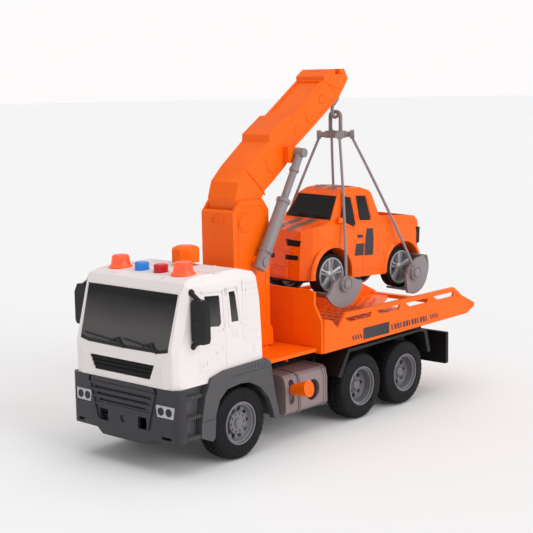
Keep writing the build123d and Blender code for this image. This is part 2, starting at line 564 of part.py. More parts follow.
# ---- bed ----
def bed():
    half = BODY_HALF
    wall = 1.8
    rail_top = 77.0
    panel = [(81.0, 53.0), (252.7, 54.8), (TAIL_Y, 59.0), (TAIL_Y, 61.7), (246.2, 69.6), (235.8, rail_top),
             (104.1, rail_top), (95.7, 67.6), (89.3, 74.3), (BED_FRONT_Y + 1.0, 76.0)]
    side = prism_x(panel, half - wall, half)
    rail = prism_x([(104.1, rail_top - 1.8), (236.0, rail_top - 1.8), (235.8, rail_top), (104.1, rail_top)],
                   half - 3.0, half)
    side += rail
    slots = ((103.6, 133.5), (138.9, 167.0), (173.8, 202.0), (208.5, 236.0))
    for y0, y1 in slots:
        side -= prism_x([(y0, 73.8), (y0 + 5.0, 70.4), (y1 - 2.0, 70.4), (y1, 73.8)], half - 5, half + 1)
    left_right = both_sides(side)
    floor = prism_x([(81.0, 55.0), (252.0, 57.6), (257.0, 58.4), (257.0, 60.4), (252.0, 60.2), (81.0, 57.4)],
                    -half + wall, half - wall)
    floor += box(-half + wall, half - wall, 256.6, 262.0, 58.2, 61.2)
    cutout = prism_z([(-29.0, 256.6), (29.0, 256.6), (10.0, 221.0), (-10.0, 221.0)], 50, 70)
    floor -= cutout
    for i in range(12):
        y = 98.0 + 9.5 * i
        floor += box(-34.0, 34.0, y, y + 0.8, 55.4 + 0.0152 * (y - 81), 57.9 + 0.0158 * (y - 81))
    tray = floor
    for piece in left_right:
        tray += piece
    hinge_y, hinge_z = BED_HINGE
    for s in (-1, 1):
        lug = box(s * 13.4, s * 16.4, hinge_y - 4.0, hinge_y + 4.0, hinge_z, 57.0)
        lug += rod_x(3.4, s * 13.4, s * 16.4, hinge_y, hinge_z)
        tray += lug
        tray += box(s * 16.4, s * 34.0, hinge_y - 3.0, hinge_y - 1.0, 53.4, 57.4)
    tray -= rod_x(HINGE_PIN_R + 0.06, -30, 30, hinge_y, hinge_z)
    add("bed_tray", tray)
    board_front = prism_y([(-47.4, 53.0), (47.4, 53.0), (47.4, 74.7), (41.3, 85.4), (41.4, 94.0), (37.0, 95.2),
                           (-37.0, 95.2), (-41.4, 94.0), (-41.3, 85.4), (-47.4, 74.7)], 79.0, 81.0)
    for x in (-24.0, 0.0, 24.0):
        board_front += box(x - 0.8, x + 0.8, 78.6, 79.2, 60.0, 92.0)
    add("headboard", board_front)


# ---- crane ----
def deck():
    plate = box(-44.0, 44.0, 24.2, 78.0, 54.4, DECK_TOP_Z)
    plate += box(-FRAME_HALF + 0.2, FRAME_HALF - 0.2, 33.0, 35.4, FRAME_Z1, 55.0)
    plate += box(-FRAME_HALF + 0.2, FRAME_HALF - 0.2, 70.0, 72.4, FRAME_Z1, 55.0)
    plate += rod_z(20.5, 0, TURRET_Y, DECK_TOP_Z - 0.5, DECK_TOP_Z + 1.2)
    plate -= rod_z(7.06, 0, TURRET_Y, 40, 70)
    add("deck_plate", plate)


def turret():
    """Hollow square tower with chamfered corners, open at the top for the boom."""
    hx, hy = TURRET_HALF_X, TURRET_HALF_Y
    y0, y1 = TURRET_Y - hy, TURRET_Y + hy
    base_z = DECK_TOP_Z + 1.5
    side = [(y0 - 1.0, base_z), (y1 + 1.0, base_z), (y1 + 1.0, 66.0), (y1, 72.0), (y1, 149.0), (y1 - 5.6, 156.3),
            (y0 + 6.3, 156.3), (y0, 148.9), (y0, 72.0), (y0 - 1.0, 66.0)]
    tower = prism_x(side, -hx, hx)
    tower += prism_x([(y0 - 1.0, base_z), (y1 + 1.0, base_z), (y1 + 1.0, 66.0), (y1, 71.0), (y0, 71.0),
                      (y0 - 1.0, 66.0)], -hx - 1.6, hx + 1.6)
    cheek = hx - BOOM_HALF - 0.35
    inner = hx - cheek
    tower -= box(-inner, inner, y0 + 1.6, y1 - 1.6, 72.0, 150.0)
    tower -= box(-inner, inner, y0 + 1.6, y1 - 1.6, 120.0, 170.0)
    tower -= box(-inner, inner, 50.0, y1 + 5, 146.0, 170.0)
    tower -= box(-inner, inner, y0 - 3, 50.0, 151.0, 170.0)
    tower += rod_z(7.0, 0, TURRET_Y, 47.6, base_z)
    frame_mark = box(-5.5, 5.5, y0 - 0.7, y0 + 0.5, 140.4, 147.6) - box(-4.0, 4.0, y0 - 2, y0 + 2, 141.9, 146.1)
    tower += frame_mark
    pivot_y, pivot_z = BOOM_PIVOT
    for s in (-1, 1):
        tower += rod_x(5.0, s * (hx - 0.3), s * (hx + 0.5), pivot_y, pivot_z)
    foot_y, foot_z = RAM_FOOT
    tower += rod_x(3.3, hx - 0.4, RAM_X - 3.3, foot_y, foot_z)
    tower -= rod_x(1.5, 5, 30, foot_y, foot_z)
    tower -= rod_x(2.0, -30, 30, pivot_y, pivot_z)
    add("turret", tower)
    foot_pin = rod_x(1.5, hx - 0.4, RAM_X + 3.0, foot_y, foot_z)
    foot_pin += rod_x(2.8, RAM_X + 3.0, RAM_X + 4.0, foot_y, foot_z)
    add("turret_pins", rod_x(2.0, -hx - 0.5, hx + 0.5, pivot_y, pivot_z), foot_pin)


def boom():
    half = BOOM_HALF
    pivot_y, pivot_z = BOOM_PIVOT
    neck = prism_x([(36.4, 150.0), (35.9, 158.1), (39.2, 168.3), (48.8, 177.5), (62.0, 178.4), (72.6, 166.6),
                    (64.8, 161.5), (60.9, 156.1), (58.6, 148.0), (50.0, 136.0), (42.3, 134.0), (36.0, 138.0)],
                   -half, half)
    neck -= rod_x(2.08, -30, 30, pivot_y, pivot_z)
    arm = prism_x([(48.8, 177.5), (69.9, 193.3), (127.2, 232.8), (134.3, 238.0), (149.4, 238.6), (153.6, 233.4),
                   (148.0, 227.4), (148.0, 225.6), (144.3, 221.1), (132.7, 212.8), (110.7, 198.0), (96.8, 189.1),
                   (85.9, 176.3), (73.6, 167.3), (72.6, 166.6), (62.0, 178.4)], -half, half)
    arm += prism_x([(69.9, 193.0), (70.0, 197.6), (88.3, 209.4), (92.7, 209.0)], -half, half)
    arm += prism_x([(127.6, 232.0), (127.1, 235.2), (134.3, 240.0), (149.4, 240.2), (153.6, 233.4), (148.0, 226.0),
                    (138.0, 228.0)], -half - 0.4, half + 0.4)
    slope = math.degrees(math.atan2(232.8 - 209.3, 127.2 - 92.7))
    panel = Pos(0, 111.0, 221.6) * Rot(slope, 0, 0) * Box(2 * half - 4.4, 36.0, 1.6)
    arm -= panel
    arm -= box(-30, 30, 139.4, 144.2, 236.4, 250)
    arm -= box(-3.4, 3.4, 144.2, 160, 220, 250)
    arm -= box(-3.4, 3.4, 140.0, 160, 215, 236)
    hook_y, hook_z = HOOK_PIVOT
    arm -= rod_x(1.3, -half + 3, half - 3, hook_y, hook_z)
    eye_y, eye_z = RAM_EYE
    lug = prism_x([(83.4, 189.0), (83.4, 178.6), (90.0, 177.8), (96.4, 181.0), (96.6, 188.0)], half - 0.5,
                  RAM_X - 3.2)
    arm += lug
    add("boom", neck + arm)
    rod_pin = rod_x(1.5, RAM_X - 3.2, RAM_X + 3.0, eye_y, eye_z)
    rod_pin += rod_x(3.0, RAM_X + 3.0, RAM_X + 4.0, eye_y, eye_z)
    add("boom_pins", rod_pin, rod_x(1.3, -half + 3, half - 3, hook_y, hook_z))


def ram():
    """Barrel on the turret, rod in the barrel with its eye on the boom."""
    fy, fz = RAM_FOOT
    ey, ez = RAM_EYE
    length = math.hypot(ey - fy, ez - fz)
    axis = Plane(origin=(RAM_X, fy, fz), z_dir=(0, ey - fy, ez - fz))
    barrel = axis * spin_z([(0, -5.6), (4.0, -5.6), (4.2, -5.0), (4.2, 6.6), (4.7, 6.9), (4.7, 8.7), (4.1, 9.0),
                            (4.1, 42.4), (4.8, 42.8), (4.8, 45.0), (4.3, 45.4), (2.65, 45.4), (2.65, 10.0),
                            (0, 10.0)])
    barrel &= box(RAM_X - 2.9, RAM_X + 2.9, 0, 200, 0, 300) + (axis * rod_z(6, 0, 0, 6.2, 60))
    barrel -= rod_x(1.56, RAM_X - 6, RAM_X + 6, fy, fz)
    add("ram_barrel", barrel)
    rod = axis * rod_z(2.55, 0, 0, 16.0, length - 4.0)
    rod += axis * spin_z([(0, length - 14.2), (3.0, length - 14.2), (3.4, length - 13.6), (3.4, length - 12.0),
                          (2.9, length - 11.6), (2.7, length - 2.0), (0, length - 2.0)])
    rod += rod_x(3.2, RAM_X - 2.9, RAM_X + 2.9, ey, ez)
    rod &= box(RAM_X - 3.4, RAM_X + 3.4, 0, 200, 0, 300)
    rod -= rod_x(1.6, RAM_X - 6, RAM_X + 6, ey, ez)
    add("ram_rod", rod)


# ---- hook, spreader, slings ----
def tube_along(points, radius, bends):
    """Round bar along straight runs joined by tangent arcs."""
    path = FilletPolyline(*points, radius=bends) if len(points) > 2 else Line(*points)
    start = Plane(origin=path @ 0, z_dir=path % 0)
    return sweep(start * Circle(radius), path=path)


def hook():
    hook_y, hook_z = HOOK_PIVOT
    shank = tube_along([(0, hook_y + 1.2, hook_z - 1.5), (0, 158.6, 220.0), (0, 151.0, 213.2), (0, 152.8, 205.6),
                        (0, 158.4, 207.2), (0, 158.8, 210.0)], 1.25, [3.0, 3.0, 2.4, 1.6])
    eye = rod_x(2.9, -1.6, 1.6, hook_y, hook_z)
    part = shank + eye
    part -= rod_x(1.36, -5, 5, hook_y, hook_z)
    add("hook", part)


def spreader():
    ring = tube_along([(0, LOAD_Y, SPREADER_Z), (-4.6, LOAD_Y, SPREADER_Z + 1.0), (-4.6, LOAD_Y, SPREADER_Z + 16.0),
                       (4.6, LOAD_Y, SPREADER_Z + 16.0), (4.6, LOAD_Y, SPREADER_Z + 1.0), (0.1, LOAD_Y, SPREADER_Z)],
                      1.4, [1.8, 3.4, 3.4, 1.8])
    body = ring + box(-6.5, 6.5, LOAD_Y - 4.0, LOAD_Y + 4.0, SPREADER_Z - 2.4, SPREADER_Z + 2.6)
    for sx in (-1, 1):
        for sy in (-1, 1):
            tip = (sx * ARM_X, LOAD_Y + sy * ARM_Y, SPREADER_Z)
            body += rod_between(2.0, (0, LOAD_Y, SPREADER_Z), tip)
            body += Pos(*tip) * Rot(0, 0, math.degrees(math.atan2(sy * ARM_Y, sx * ARM_X))) * Rot(0, 90, 0) \
                * Cylinder(3.1, 3.0)
    return body


def load_frame():
    return Location(PICKUP_ORIGIN) * Rot(0, 0, PICKUP_YAW) * Rot(PICKUP_PITCH, 0, 0) * Rot(0, PICKUP_ROLL, 0)


def cradle(centre, radius, edge, tray_from, tray_to, hub_y, hub_z):
    """Left cradle about the wheel axis at local x: plate, tray under the tyre, hub with its pin."""
    fan = [(0.0, 0.0)]
    for i in range(13):
        angle = math.radians(tray_from + (tray_to - tray_from) * i / 12)
        fan.append((40 * math.cos(angle), 40 * math.sin(angle)))
    tray = rod_x(CRADLE_OUTER_R, PICKUP_FACE_X - 9.0, CRADLE_X, 0, 0)
    tray -= rod_x(CRADLE_INNER_R, 0, 60, 0, 0)
    tray &= prism_x(fan, -60, 60)
    plate = rod_x(radius, CRADLE_X - 1.0, CRADLE_X + 1.0, *centre)
    plate &= prism_x(edge, 30, 42)
    hub = rod_x(HUB_R, CRADLE_X - 1.0, CRADLE_X + 3.4, hub_y, hub_z)
    hub += rod_x(3.5, CRADLE_X + 3.0, CRADLE_X + 4.2, hub_y, hub_z)
    return tray + plate + hub


def slings(spreader_body):
    """Four sling ropes from the spreader's arms, each with its cradle."""
    corners = (("front_left", 1, -1), ("front_right", -1, -1), ("rear_left", 1, 1), ("rear_right", -1, 1))
    frame = load_frame()
    for name, sx, sy in corners:
        along = 0.0 if sy < 0 else PICKUP_WHEELBASE
        shape, end_y, end_z = FRONT_CRADLE if sy < 0 else REAR_CRADLE
        placed = Pos(0, along, CRADLE_RISE) * cradle(*shape)
        point = Vector(CRADLE_X + 1.0, end_y + along, end_z + CRADLE_RISE)
        if sx < 0:
            placed = mirror(placed, about=Plane.YZ)
            point = Vector(-point.X, point.Y, point.Z)
        placed = frame * placed
        end = (frame * Location(point)).position
        start = Vector(sx * ARM_X, LOAD_Y + sy * ARM_Y, SPREADER_Z - 2.4)
        run = end - start
        middle = start + run * 0.5 + Vector(sx * 2.0, sy * 0.4, 0)
        turn_angle = math.radians((middle - start).get_angle(end - middle))
        bend = 0.45 * run.length / 2 / math.tan(turn_angle / 2)
        rope = tube_along([start, middle, end], ROPE_R, [bend])
        spreader_body -= rod_between(ROPE_R, start, middle)
        placed -= rod_between(ROPE_R, end, middle)
        add("cradle_" + name, placed)
        add("rope_" + name, rope)
        print(name, "rope", round(run.length, 1), "bend radius", round(bend, 1), "volume", round(rope.volume, 1),
              "section x length", round(math.pi * ROPE_R ** 2 * run.length, 1))
        print("  from", start, "to", end, "by", middle)
    add("spreader", spreader_body)


# ---- pickup ----
def pickup_wheel():
    w = PICKUP_TYRE_W
    r = PICKUP_TYRE_R
    tyre_part = spin_x([(0, 12.3), (0, r - 1.0), (0.9, r), (w - 1.1, r), (w - 0.2, r - 1.1), (w, 13.0), (w - 0.6, 12.3)])
    rim_part = spin_x([(1.0, 11.3), (1.0, 12.3), (w - 0.3, 12.3), (w - 0.1, 11.7), (w - 0.9, 11.1)])
    for i in range(5):
        spoke = box(w - 3.2, w - 1.0, -1.7, 1.7, 0.0, 11.7)
        rim_part += Rot(72.0 * i + 18.0, 0, 0) * spoke
    rim_part += rod_x(3.0, 1.0, w - 0.4, 0, 0)
    rim_part += rod_x(11.9, 3.0, 4.0, 0, 0)
    rim_part -= rod_x(1.0, -2, w - 1.6, 0, 0)
    return tyre_part, rim_part


def pickup():
    frame = load_frame()
    half = 25.0
    side = [(-27.0, -2.8), (-27.8, 8.0), (-27.2, 22.0), (-25.4, 31.0), (-20.0, 33.4), (-6.0, 35.6), (-1.1, 37.4),
            (9.2, 54.6), (14.0, 58.2), (22.0, 60.0), (36.0, 59.6), (44.6, 57.0), (51.0, 38.6), (89.6, 37.4),
            (92.6, 34.0), (94.0, 20.0), (94.0, 8.0), (91.8, -3.6)]
    body = prism_x(side, -half, half)
    section = [(-half, -8), (-half, 24.0), (-23.6, 34.5), (-22.0, 38.4), (-18.6, 54.6), (-14.6, 59.2), (0, 60.2),
               (14.6, 59.2), (18.6, 54.6), (22.0, 38.4), (23.6, 34.5), (half, 24.0), (half, -8)]
    body &= prism_y(section, -40, 110)
    plan = Plane.XY * Polygon((-half, -10), (-22.8, -19), (-17.0, -25.2), (-7, -28), (7, -28), (17.0, -25.2),
                              (22.8, -19), (half, -10), (half, 92), (22, 95), (-22, 95), (-half, 92), align=None)
    body &= Pos(0, 0, -10) * extrude(plan, amount=80)
    roof = body.edges().filter_by_position(Axis.Z, 50, 60)
    body = soften(body, roof, 1.6)
    for y in (0.0, PICKUP_WHEELBASE):
        for s in (-1, 1):
            body -= rod_x(ARCH_R, s * (PICKUP_FACE_X - 11.0), s * 40, y, 0.6)
    body -= box(-20.6, 20.6, 54.0, 88.0, 16.0, 60.0)
    body -= prism_x([(-22.0, -8), (-22.0, 3.0), (-18, 25.0), (-6, 31.6), (3, 36.5), (11.0, 53.0), (40.0, 53.0),
                     (46.0, 36.0), (50.0, 34.0), (50.0, 14.0), (88.0, 14.0), (88.0, -8)], -13.2, 13.2)
    glass_cut = prism_y([(-21.4, 38.0), (-18.0, 54.0), (18.0, 54.0), (21.4, 38.0)], -4, 13.4)
    glass_cut &= prism_x([(-3.0, 38.0), (8.0, 54.0), (12.4, 54.0), (1.6, 38.0)], -30, 30)
    side_cut = prism_x([(8.4, 38.2), (14.0, 35.4), (21.0, 32.4), (23.4, 34.2), (24.0, 40.0), (22.2, 52.8), (15.4, 53.8)],
                       13.2, 26)
    side_cut += prism_x([(28.8, 36.6), (40.0, 36.2), (41.2, 38.2), (38.4, 53.4), (28.0, 53.8)], 13.2, 26)
    rear_cut = prism_y([(-12.6, 41.4), (-12.0, 53.0), (12.0, 53.0), (12.6, 41.4)], 43.0, 54.0)
    cabin = [glass_cut] + both_sides(side_cut) + [rear_cut]
    whole = body
    for cut in cabin:
        body -= cut
    panes = []
    for cut in cabin:
        pane = whole & cut
        panes.append(pane)
    liner = prism_x([(3.2, 36.5), (11.2, 52.8), (39.8, 52.8), (45.6, 36.5)], -13.1, 13.1)
    liner -= prism_x([(5.4, 34.5), (13.4, 50.6), (38.2, 50.6), (43.4, 34.5)], -11.6, 11.6)
    glass = liner
    for pane in panes:
        glass += pane
    for side_sign in (-1, 1):
        body -= prism_y([(side_sign * 4.6, 25.2), (side_sign * 17.4, 24.6), (side_sign * 16.4, 20.4),
                         (side_sign * 6.4, 20.6)], -30, -22.4)
        body -= box(side_sign * 5.0, side_sign * 15.6, -30, -24.2, 11.0, 14.4)
    trim = []
    bow = Pos(0, 0.9, -10) * extrude(plan, amount=80)
    for side_sign in (-1, 1):
        lamp = prism_y([(side_sign * 4.8, 25.0), (side_sign * 17.2, 24.4), (side_sign * 16.3, 20.6),
                        (side_sign * 6.5, 20.8)], -30, -22.5)
        trim.append(lamp & bow)
        trim.append(box(side_sign * 5.2, side_sign * 15.4, -30, -24.3, 11.2, 14.2) & bow)
        body -= box(side_sign * 21.6, side_sign * 27, 90.4, 96, 17.0, 29.0)
        trim.append(box(side_sign * 21.7, side_sign * 25.2, 90.5, 93.9, 17.1, 28.9))
    add("pickup_body", frame * body)
    add("pickup_glazing", frame * glass)
    add("pickup_trim", *[frame * piece for piece in trim])
    base = box(-13.0, 13.0, -21.6, 87.6, -5.4, 3.0)
    for y in (0.0, PICKUP_WHEELBASE):
        base -= rod_x(1.08, -20, 20, y, 0)
    add("pickup_base", frame * base)
    tyre_part, rim_part = pickup_wheel()
    for label, y in (("front", 0.0), ("rear", PICKUP_WHEELBASE)):
        place = frame * Pos(0, y, 0)
        shift = Pos(PICKUP_FACE_X - PICKUP_TYRE_W, 0, 0)
        tyres = both_sides(shift * tyre_part)
        rims = both_sides(shift * rim_part)
        axle = rod_x(1.0, -PICKUP_FACE_X + 1.6, PICKUP_FACE_X - 1.6, 0, 0)
        add("pickup_tyres_" + label, *[place * piece for piece in tyres])
        add("pickup_rims_axle_" + label, place * axle, *[place * piece for piece in rims])


def build():
    add("chassis", chassis())
    wheel_set("front", FRONT_AXLE_Y, 4.4, 10, 1.5, 7.2)
    wheel_set("mid", MID_AXLE_Y, 7.6, 8, 1.6, 5.2)
    wheel_set("rear", REAR_AXLE_Y, 7.6, 8, 1.6, 5.2)
    friction_drive()
    cab()
    cab_fittings()
    electronics()
    batteries()
    screws()
    front_bumper()
    fender_steps()
    side_boxes()
    rear_fenders()
    bed()
    deck()
    turret()
    boom()
    ram()
    hook()
    slings(spreader())
    pickup()


build()
os.makedirs("parts", exist_ok=True)
for node, shape in nodes.items():
    export_step(Pos(0, EXPORT_SHIFT, 0) * shape, "parts/" + node + ".step")
print(len(nodes), "nodes")
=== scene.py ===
import math

import bmesh
import bpy
from mathutils import Matrix, Vector


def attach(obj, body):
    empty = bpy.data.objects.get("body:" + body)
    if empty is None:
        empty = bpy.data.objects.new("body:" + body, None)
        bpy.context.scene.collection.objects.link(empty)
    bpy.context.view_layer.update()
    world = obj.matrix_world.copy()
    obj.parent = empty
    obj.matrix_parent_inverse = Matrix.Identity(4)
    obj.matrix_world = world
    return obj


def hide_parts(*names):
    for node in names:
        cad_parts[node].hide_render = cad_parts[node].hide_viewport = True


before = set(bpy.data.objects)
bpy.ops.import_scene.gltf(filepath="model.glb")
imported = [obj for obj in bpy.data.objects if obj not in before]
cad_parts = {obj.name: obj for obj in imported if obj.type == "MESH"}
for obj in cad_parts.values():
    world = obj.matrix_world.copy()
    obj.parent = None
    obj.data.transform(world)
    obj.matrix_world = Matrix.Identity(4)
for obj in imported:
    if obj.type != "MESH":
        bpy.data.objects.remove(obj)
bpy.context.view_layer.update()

MM = 0.001
SHIFT = -104.0


def at(x, y, z):
    """A point from the truck's own millimetres, where y is 0 at the front axle, in the row frame."""
    return Vector((x, y + SHIFT, z)) * MM


# ---- camera ----
IMAGE_SIDE = 533.0
FOCAL_IN_IMAGE = 1272.0
SENSOR = 36.0
CAMERA_PLACE = (0.571247, -0.663319, 0.234094)


def make_camera():
    az, el, roll = math.radians(41.84369), math.radians(8.39225), math.radians(-0.97147)
    back = Vector((math.sin(az) * math.cos(el), -math.cos(az) * math.cos(el), math.sin(el)))
    right = Vector((math.cos(az), math.sin(az), 0.0))
    up = right.cross(-back)
    side = right * math.cos(roll) + up * math.sin(roll)
    top = up * math.cos(roll) - right * math.sin(roll)
    data = bpy.data.cameras.new("camera")
    data.sensor_width = SENSOR
    data.lens = FOCAL_IN_IMAGE / IMAGE_SIDE * SENSOR
    data.clip_end = 50.0
    cam = bpy.data.objects.new("camera", data)
    matrix = Matrix((side, top, back)).transposed().to_4x4()
    matrix.translation = CAMERA_PLACE
    cam.matrix_world = matrix
    bpy.context.scene.collection.objects.link(cam)
    bpy.context.scene.camera = cam


make_camera()


# ---- materials ----
class Nodes:
    """A short way to write a material's nodes."""

    def __init__(self, name):
        self.mat = bpy.data.materials.new(name)
        self.mat.use_nodes = True
        self.tree = self.mat.node_tree
        self.bsdf = self.tree.nodes["Principled BSDF"]
        self.object = self.add("ShaderNodeTexCoord").outputs["Object"]

    def add(self, kind, settings=(), **inputs):
        node = self.tree.nodes.new(kind)
        for key, value in dict(settings).items():
            setattr(node, key, value)
        for key, value in inputs.items():
            self.feed(node, key.replace("_", " "), value)
        return node

    def feed(self, node, key, value):
        if isinstance(value, bpy.types.NodeSocket):
            self.tree.links.new(value, node.inputs[key])
        else:
            node.inputs[key].default_value = value

    def set(self, **inputs):
        for key, value in inputs.items():
            self.feed(self.bsdf, key.replace("_", " "), value)

    def noise(self, scale, detail=3.0, stretch=None, rough=0.5):
        vector = self.object
        if stretch:
            vector = self.add("ShaderNodeMapping", Vector=self.object, Scale=stretch).outputs[0]
        node = self.add("ShaderNodeTexNoise", Vector=vector, Scale=scale, Detail=detail, Roughness=rough)
        return node.outputs["Fac"]

    def remap(self, value, low, high, to_low, to_high):
        node = self.add("ShaderNodeMapRange", Value=value)
        for key, number in (("From Min", low), ("From Max", high), ("To Min", to_low), ("To Max", to_high)):
            node.inputs[key].default_value = number
        return node.outputs["Result"]

    def blend(self, factor, first, second):
        node = self.add("ShaderNodeMix", settings={"data_type": "RGBA"})
        self.feed(node, 0, factor)
        self.feed(node, 6, first)
        self.feed(node, 7, second)
        return node.outputs[2]

    def maths(self, operation, first, second):
        node = self.add("ShaderNodeMath", settings={"operation": operation})
        self.feed(node, 0, first)
        self.feed(node, 1, second)
        return node.outputs[0]


def shade(colour, factor):
    return tuple(min(1.0, c * factor) for c in colour[:3]) + (1.0,)


def moulded(name, colour, rough=0.36, mottle=0.04, grain=0.08, scuff=0.3, sheen=0.35, **sockets):
    """Injection-moulded plastic: slight colour drift, a fine grain, and hairline scuffs in the gloss."""
    n = Nodes(name)
    drift = n.noise(38.0, 3.0)
    scratches = n.remap(n.noise(90.0, 5.0, stretch=(1.0, 5.0, 2.2), rough=0.62), 0.62, 0.68, 0.0, scuff)
    base = n.blend(n.remap(drift, 0.35, 0.65, 0.0, 1.0), shade(colour, 1.0 - mottle),
                   shade(colour, 1.0 + mottle))
    n.set(Base_Color=n.blend(n.maths("MULTIPLY", scratches, 0.12), base, shade(colour, 1.5)))
    gloss = n.remap(n.noise(420.0, 5.0), 0.3, 0.7, rough - 0.05, rough + 0.07)
    n.set(Roughness=n.maths("ADD", gloss, n.maths("MULTIPLY", scratches, 0.3)))
    peel = n.maths("ADD", n.noise(160.0, 2.0), n.maths("MULTIPLY", n.noise(2600.0, 3.0), 0.5))
    bump = n.add("ShaderNodeBump", Strength=grain, Distance=0.0006, Height=peel)
    n.set(Normal=bump.outputs["Normal"], Specular_IOR_Level=sheen)
    for key, value in sockets.items():
        n.set(**{key: value})
    return n.mat


def rubber(name, colour):
    """Soft tyre vinyl: matt, dusty in patches, with a fine pebble."""
    n = Nodes(name)
    dust = n.remap(n.noise(70.0, 6.0, rough=0.6), 0.5, 0.75, 0.0, 0.3)
    n.set(Base_Color=n.blend(dust, colour, shade(colour, 1.7)))
    n.set(Roughness=n.remap(n.noise(300.0, 4.0), 0.3, 0.7, 0.5, 0.68))
    bump = n.add("ShaderNodeBump", Strength=0.15, Distance=0.0005, Height=n.noise(2200.0, 4.0))
    n.set(Normal=bump.outputs["Normal"], Specular_IOR_Level=0.16)
    return n.mat


def fabric_cord(name, colour):
    """Twisted cord: matt fibres along the strand."""
    n = Nodes(name)
    fibre = n.noise(2400.0, 4.0, stretch=(1.0, 1.0, 0.25), rough=0.6)
    n.set(Base_Color=n.blend(n.remap(fibre, 0.3, 0.7, 0.0, 1.0), shade(colour, 0.72), shade(colour, 1.2)))
    n.set(Roughness=n.remap(fibre, 0.3, 0.7, 0.62, 0.85))
    bump = n.add("ShaderNodeBump", Strength=0.5, Distance=0.0003, Height=fibre)
    n.set(Normal=bump.outputs["Normal"], Sheen_Weight=0.15)
    return n.mat


def lamp_lens(name, colour, centres):
    """Orange dome lit from inside: the glow is strongest around the lamp in its middle."""
    n = Nodes(name)
    reach = None
    for centre in centres:
        away = n.add("ShaderNodeVectorMath", settings={"operation": "DISTANCE"})
        n.tree.links.new(n.object, away.inputs[0])
        away.inputs[1].default_value = at(*centre)
        reach = away.outputs["Value"] if reach is None else n.maths("MINIMUM", reach, away.outputs["Value"])
    glow = n.remap(reach, 0.0050, 0.0080, 1.0, 0.0)
    n.set(Base_Color=n.blend(glow, colour, (1.0, 0.05, 0.03, 1.0)))
    n.set(Emission_Color=n.blend(glow, (1.0, 0.16, 0.03, 1.0), (1.0, 0.03, 0.02, 1.0)))
    n.set(Emission_Strength=n.remap(reach, 0.0048, 0.0080, 0.6, 0.1))
    n.set(Roughness=n.remap(n.noise(300.0, 3.0), 0.3, 0.7, 0.2, 0.3), Transmission_Weight=0.25, IOR=1.49)
    return n.mat


def tinted(name, colour, rough, reflection_colour, low, high):
    """Dark glossy insert with a painted reflection: paler low down than near its top, its edge wavy."""
    n = Nodes(name)
    height = n.add("ShaderNodeSeparateXYZ", Vector=n.object).outputs["Z"]
    reflection_wobble = n.maths("MULTIPLY", n.noise(24.0, 2.0, stretch=(1.0, 1.0, 4.0)), 0.004)
    reflection_fade = n.remap(n.maths("ADD", height, reflection_wobble), low, high, 1.0, 0.0)
    # painted reflection: the base colour turns paler towards the bottom of the part
    n.set(Base_Color=n.blend(reflection_fade, colour, reflection_colour))
    n.set(Roughness=n.remap(n.noise(500.0, 4.0), 0.3, 0.7, rough - 0.03, rough + 0.05))
    bump = n.add("ShaderNodeBump", Strength=0.03, Distance=0.0008, Height=n.noise(120.0, 2.0))
    n.set(Normal=bump.outputs["Normal"], Specular_IOR_Level=0.2)
    return n.mat


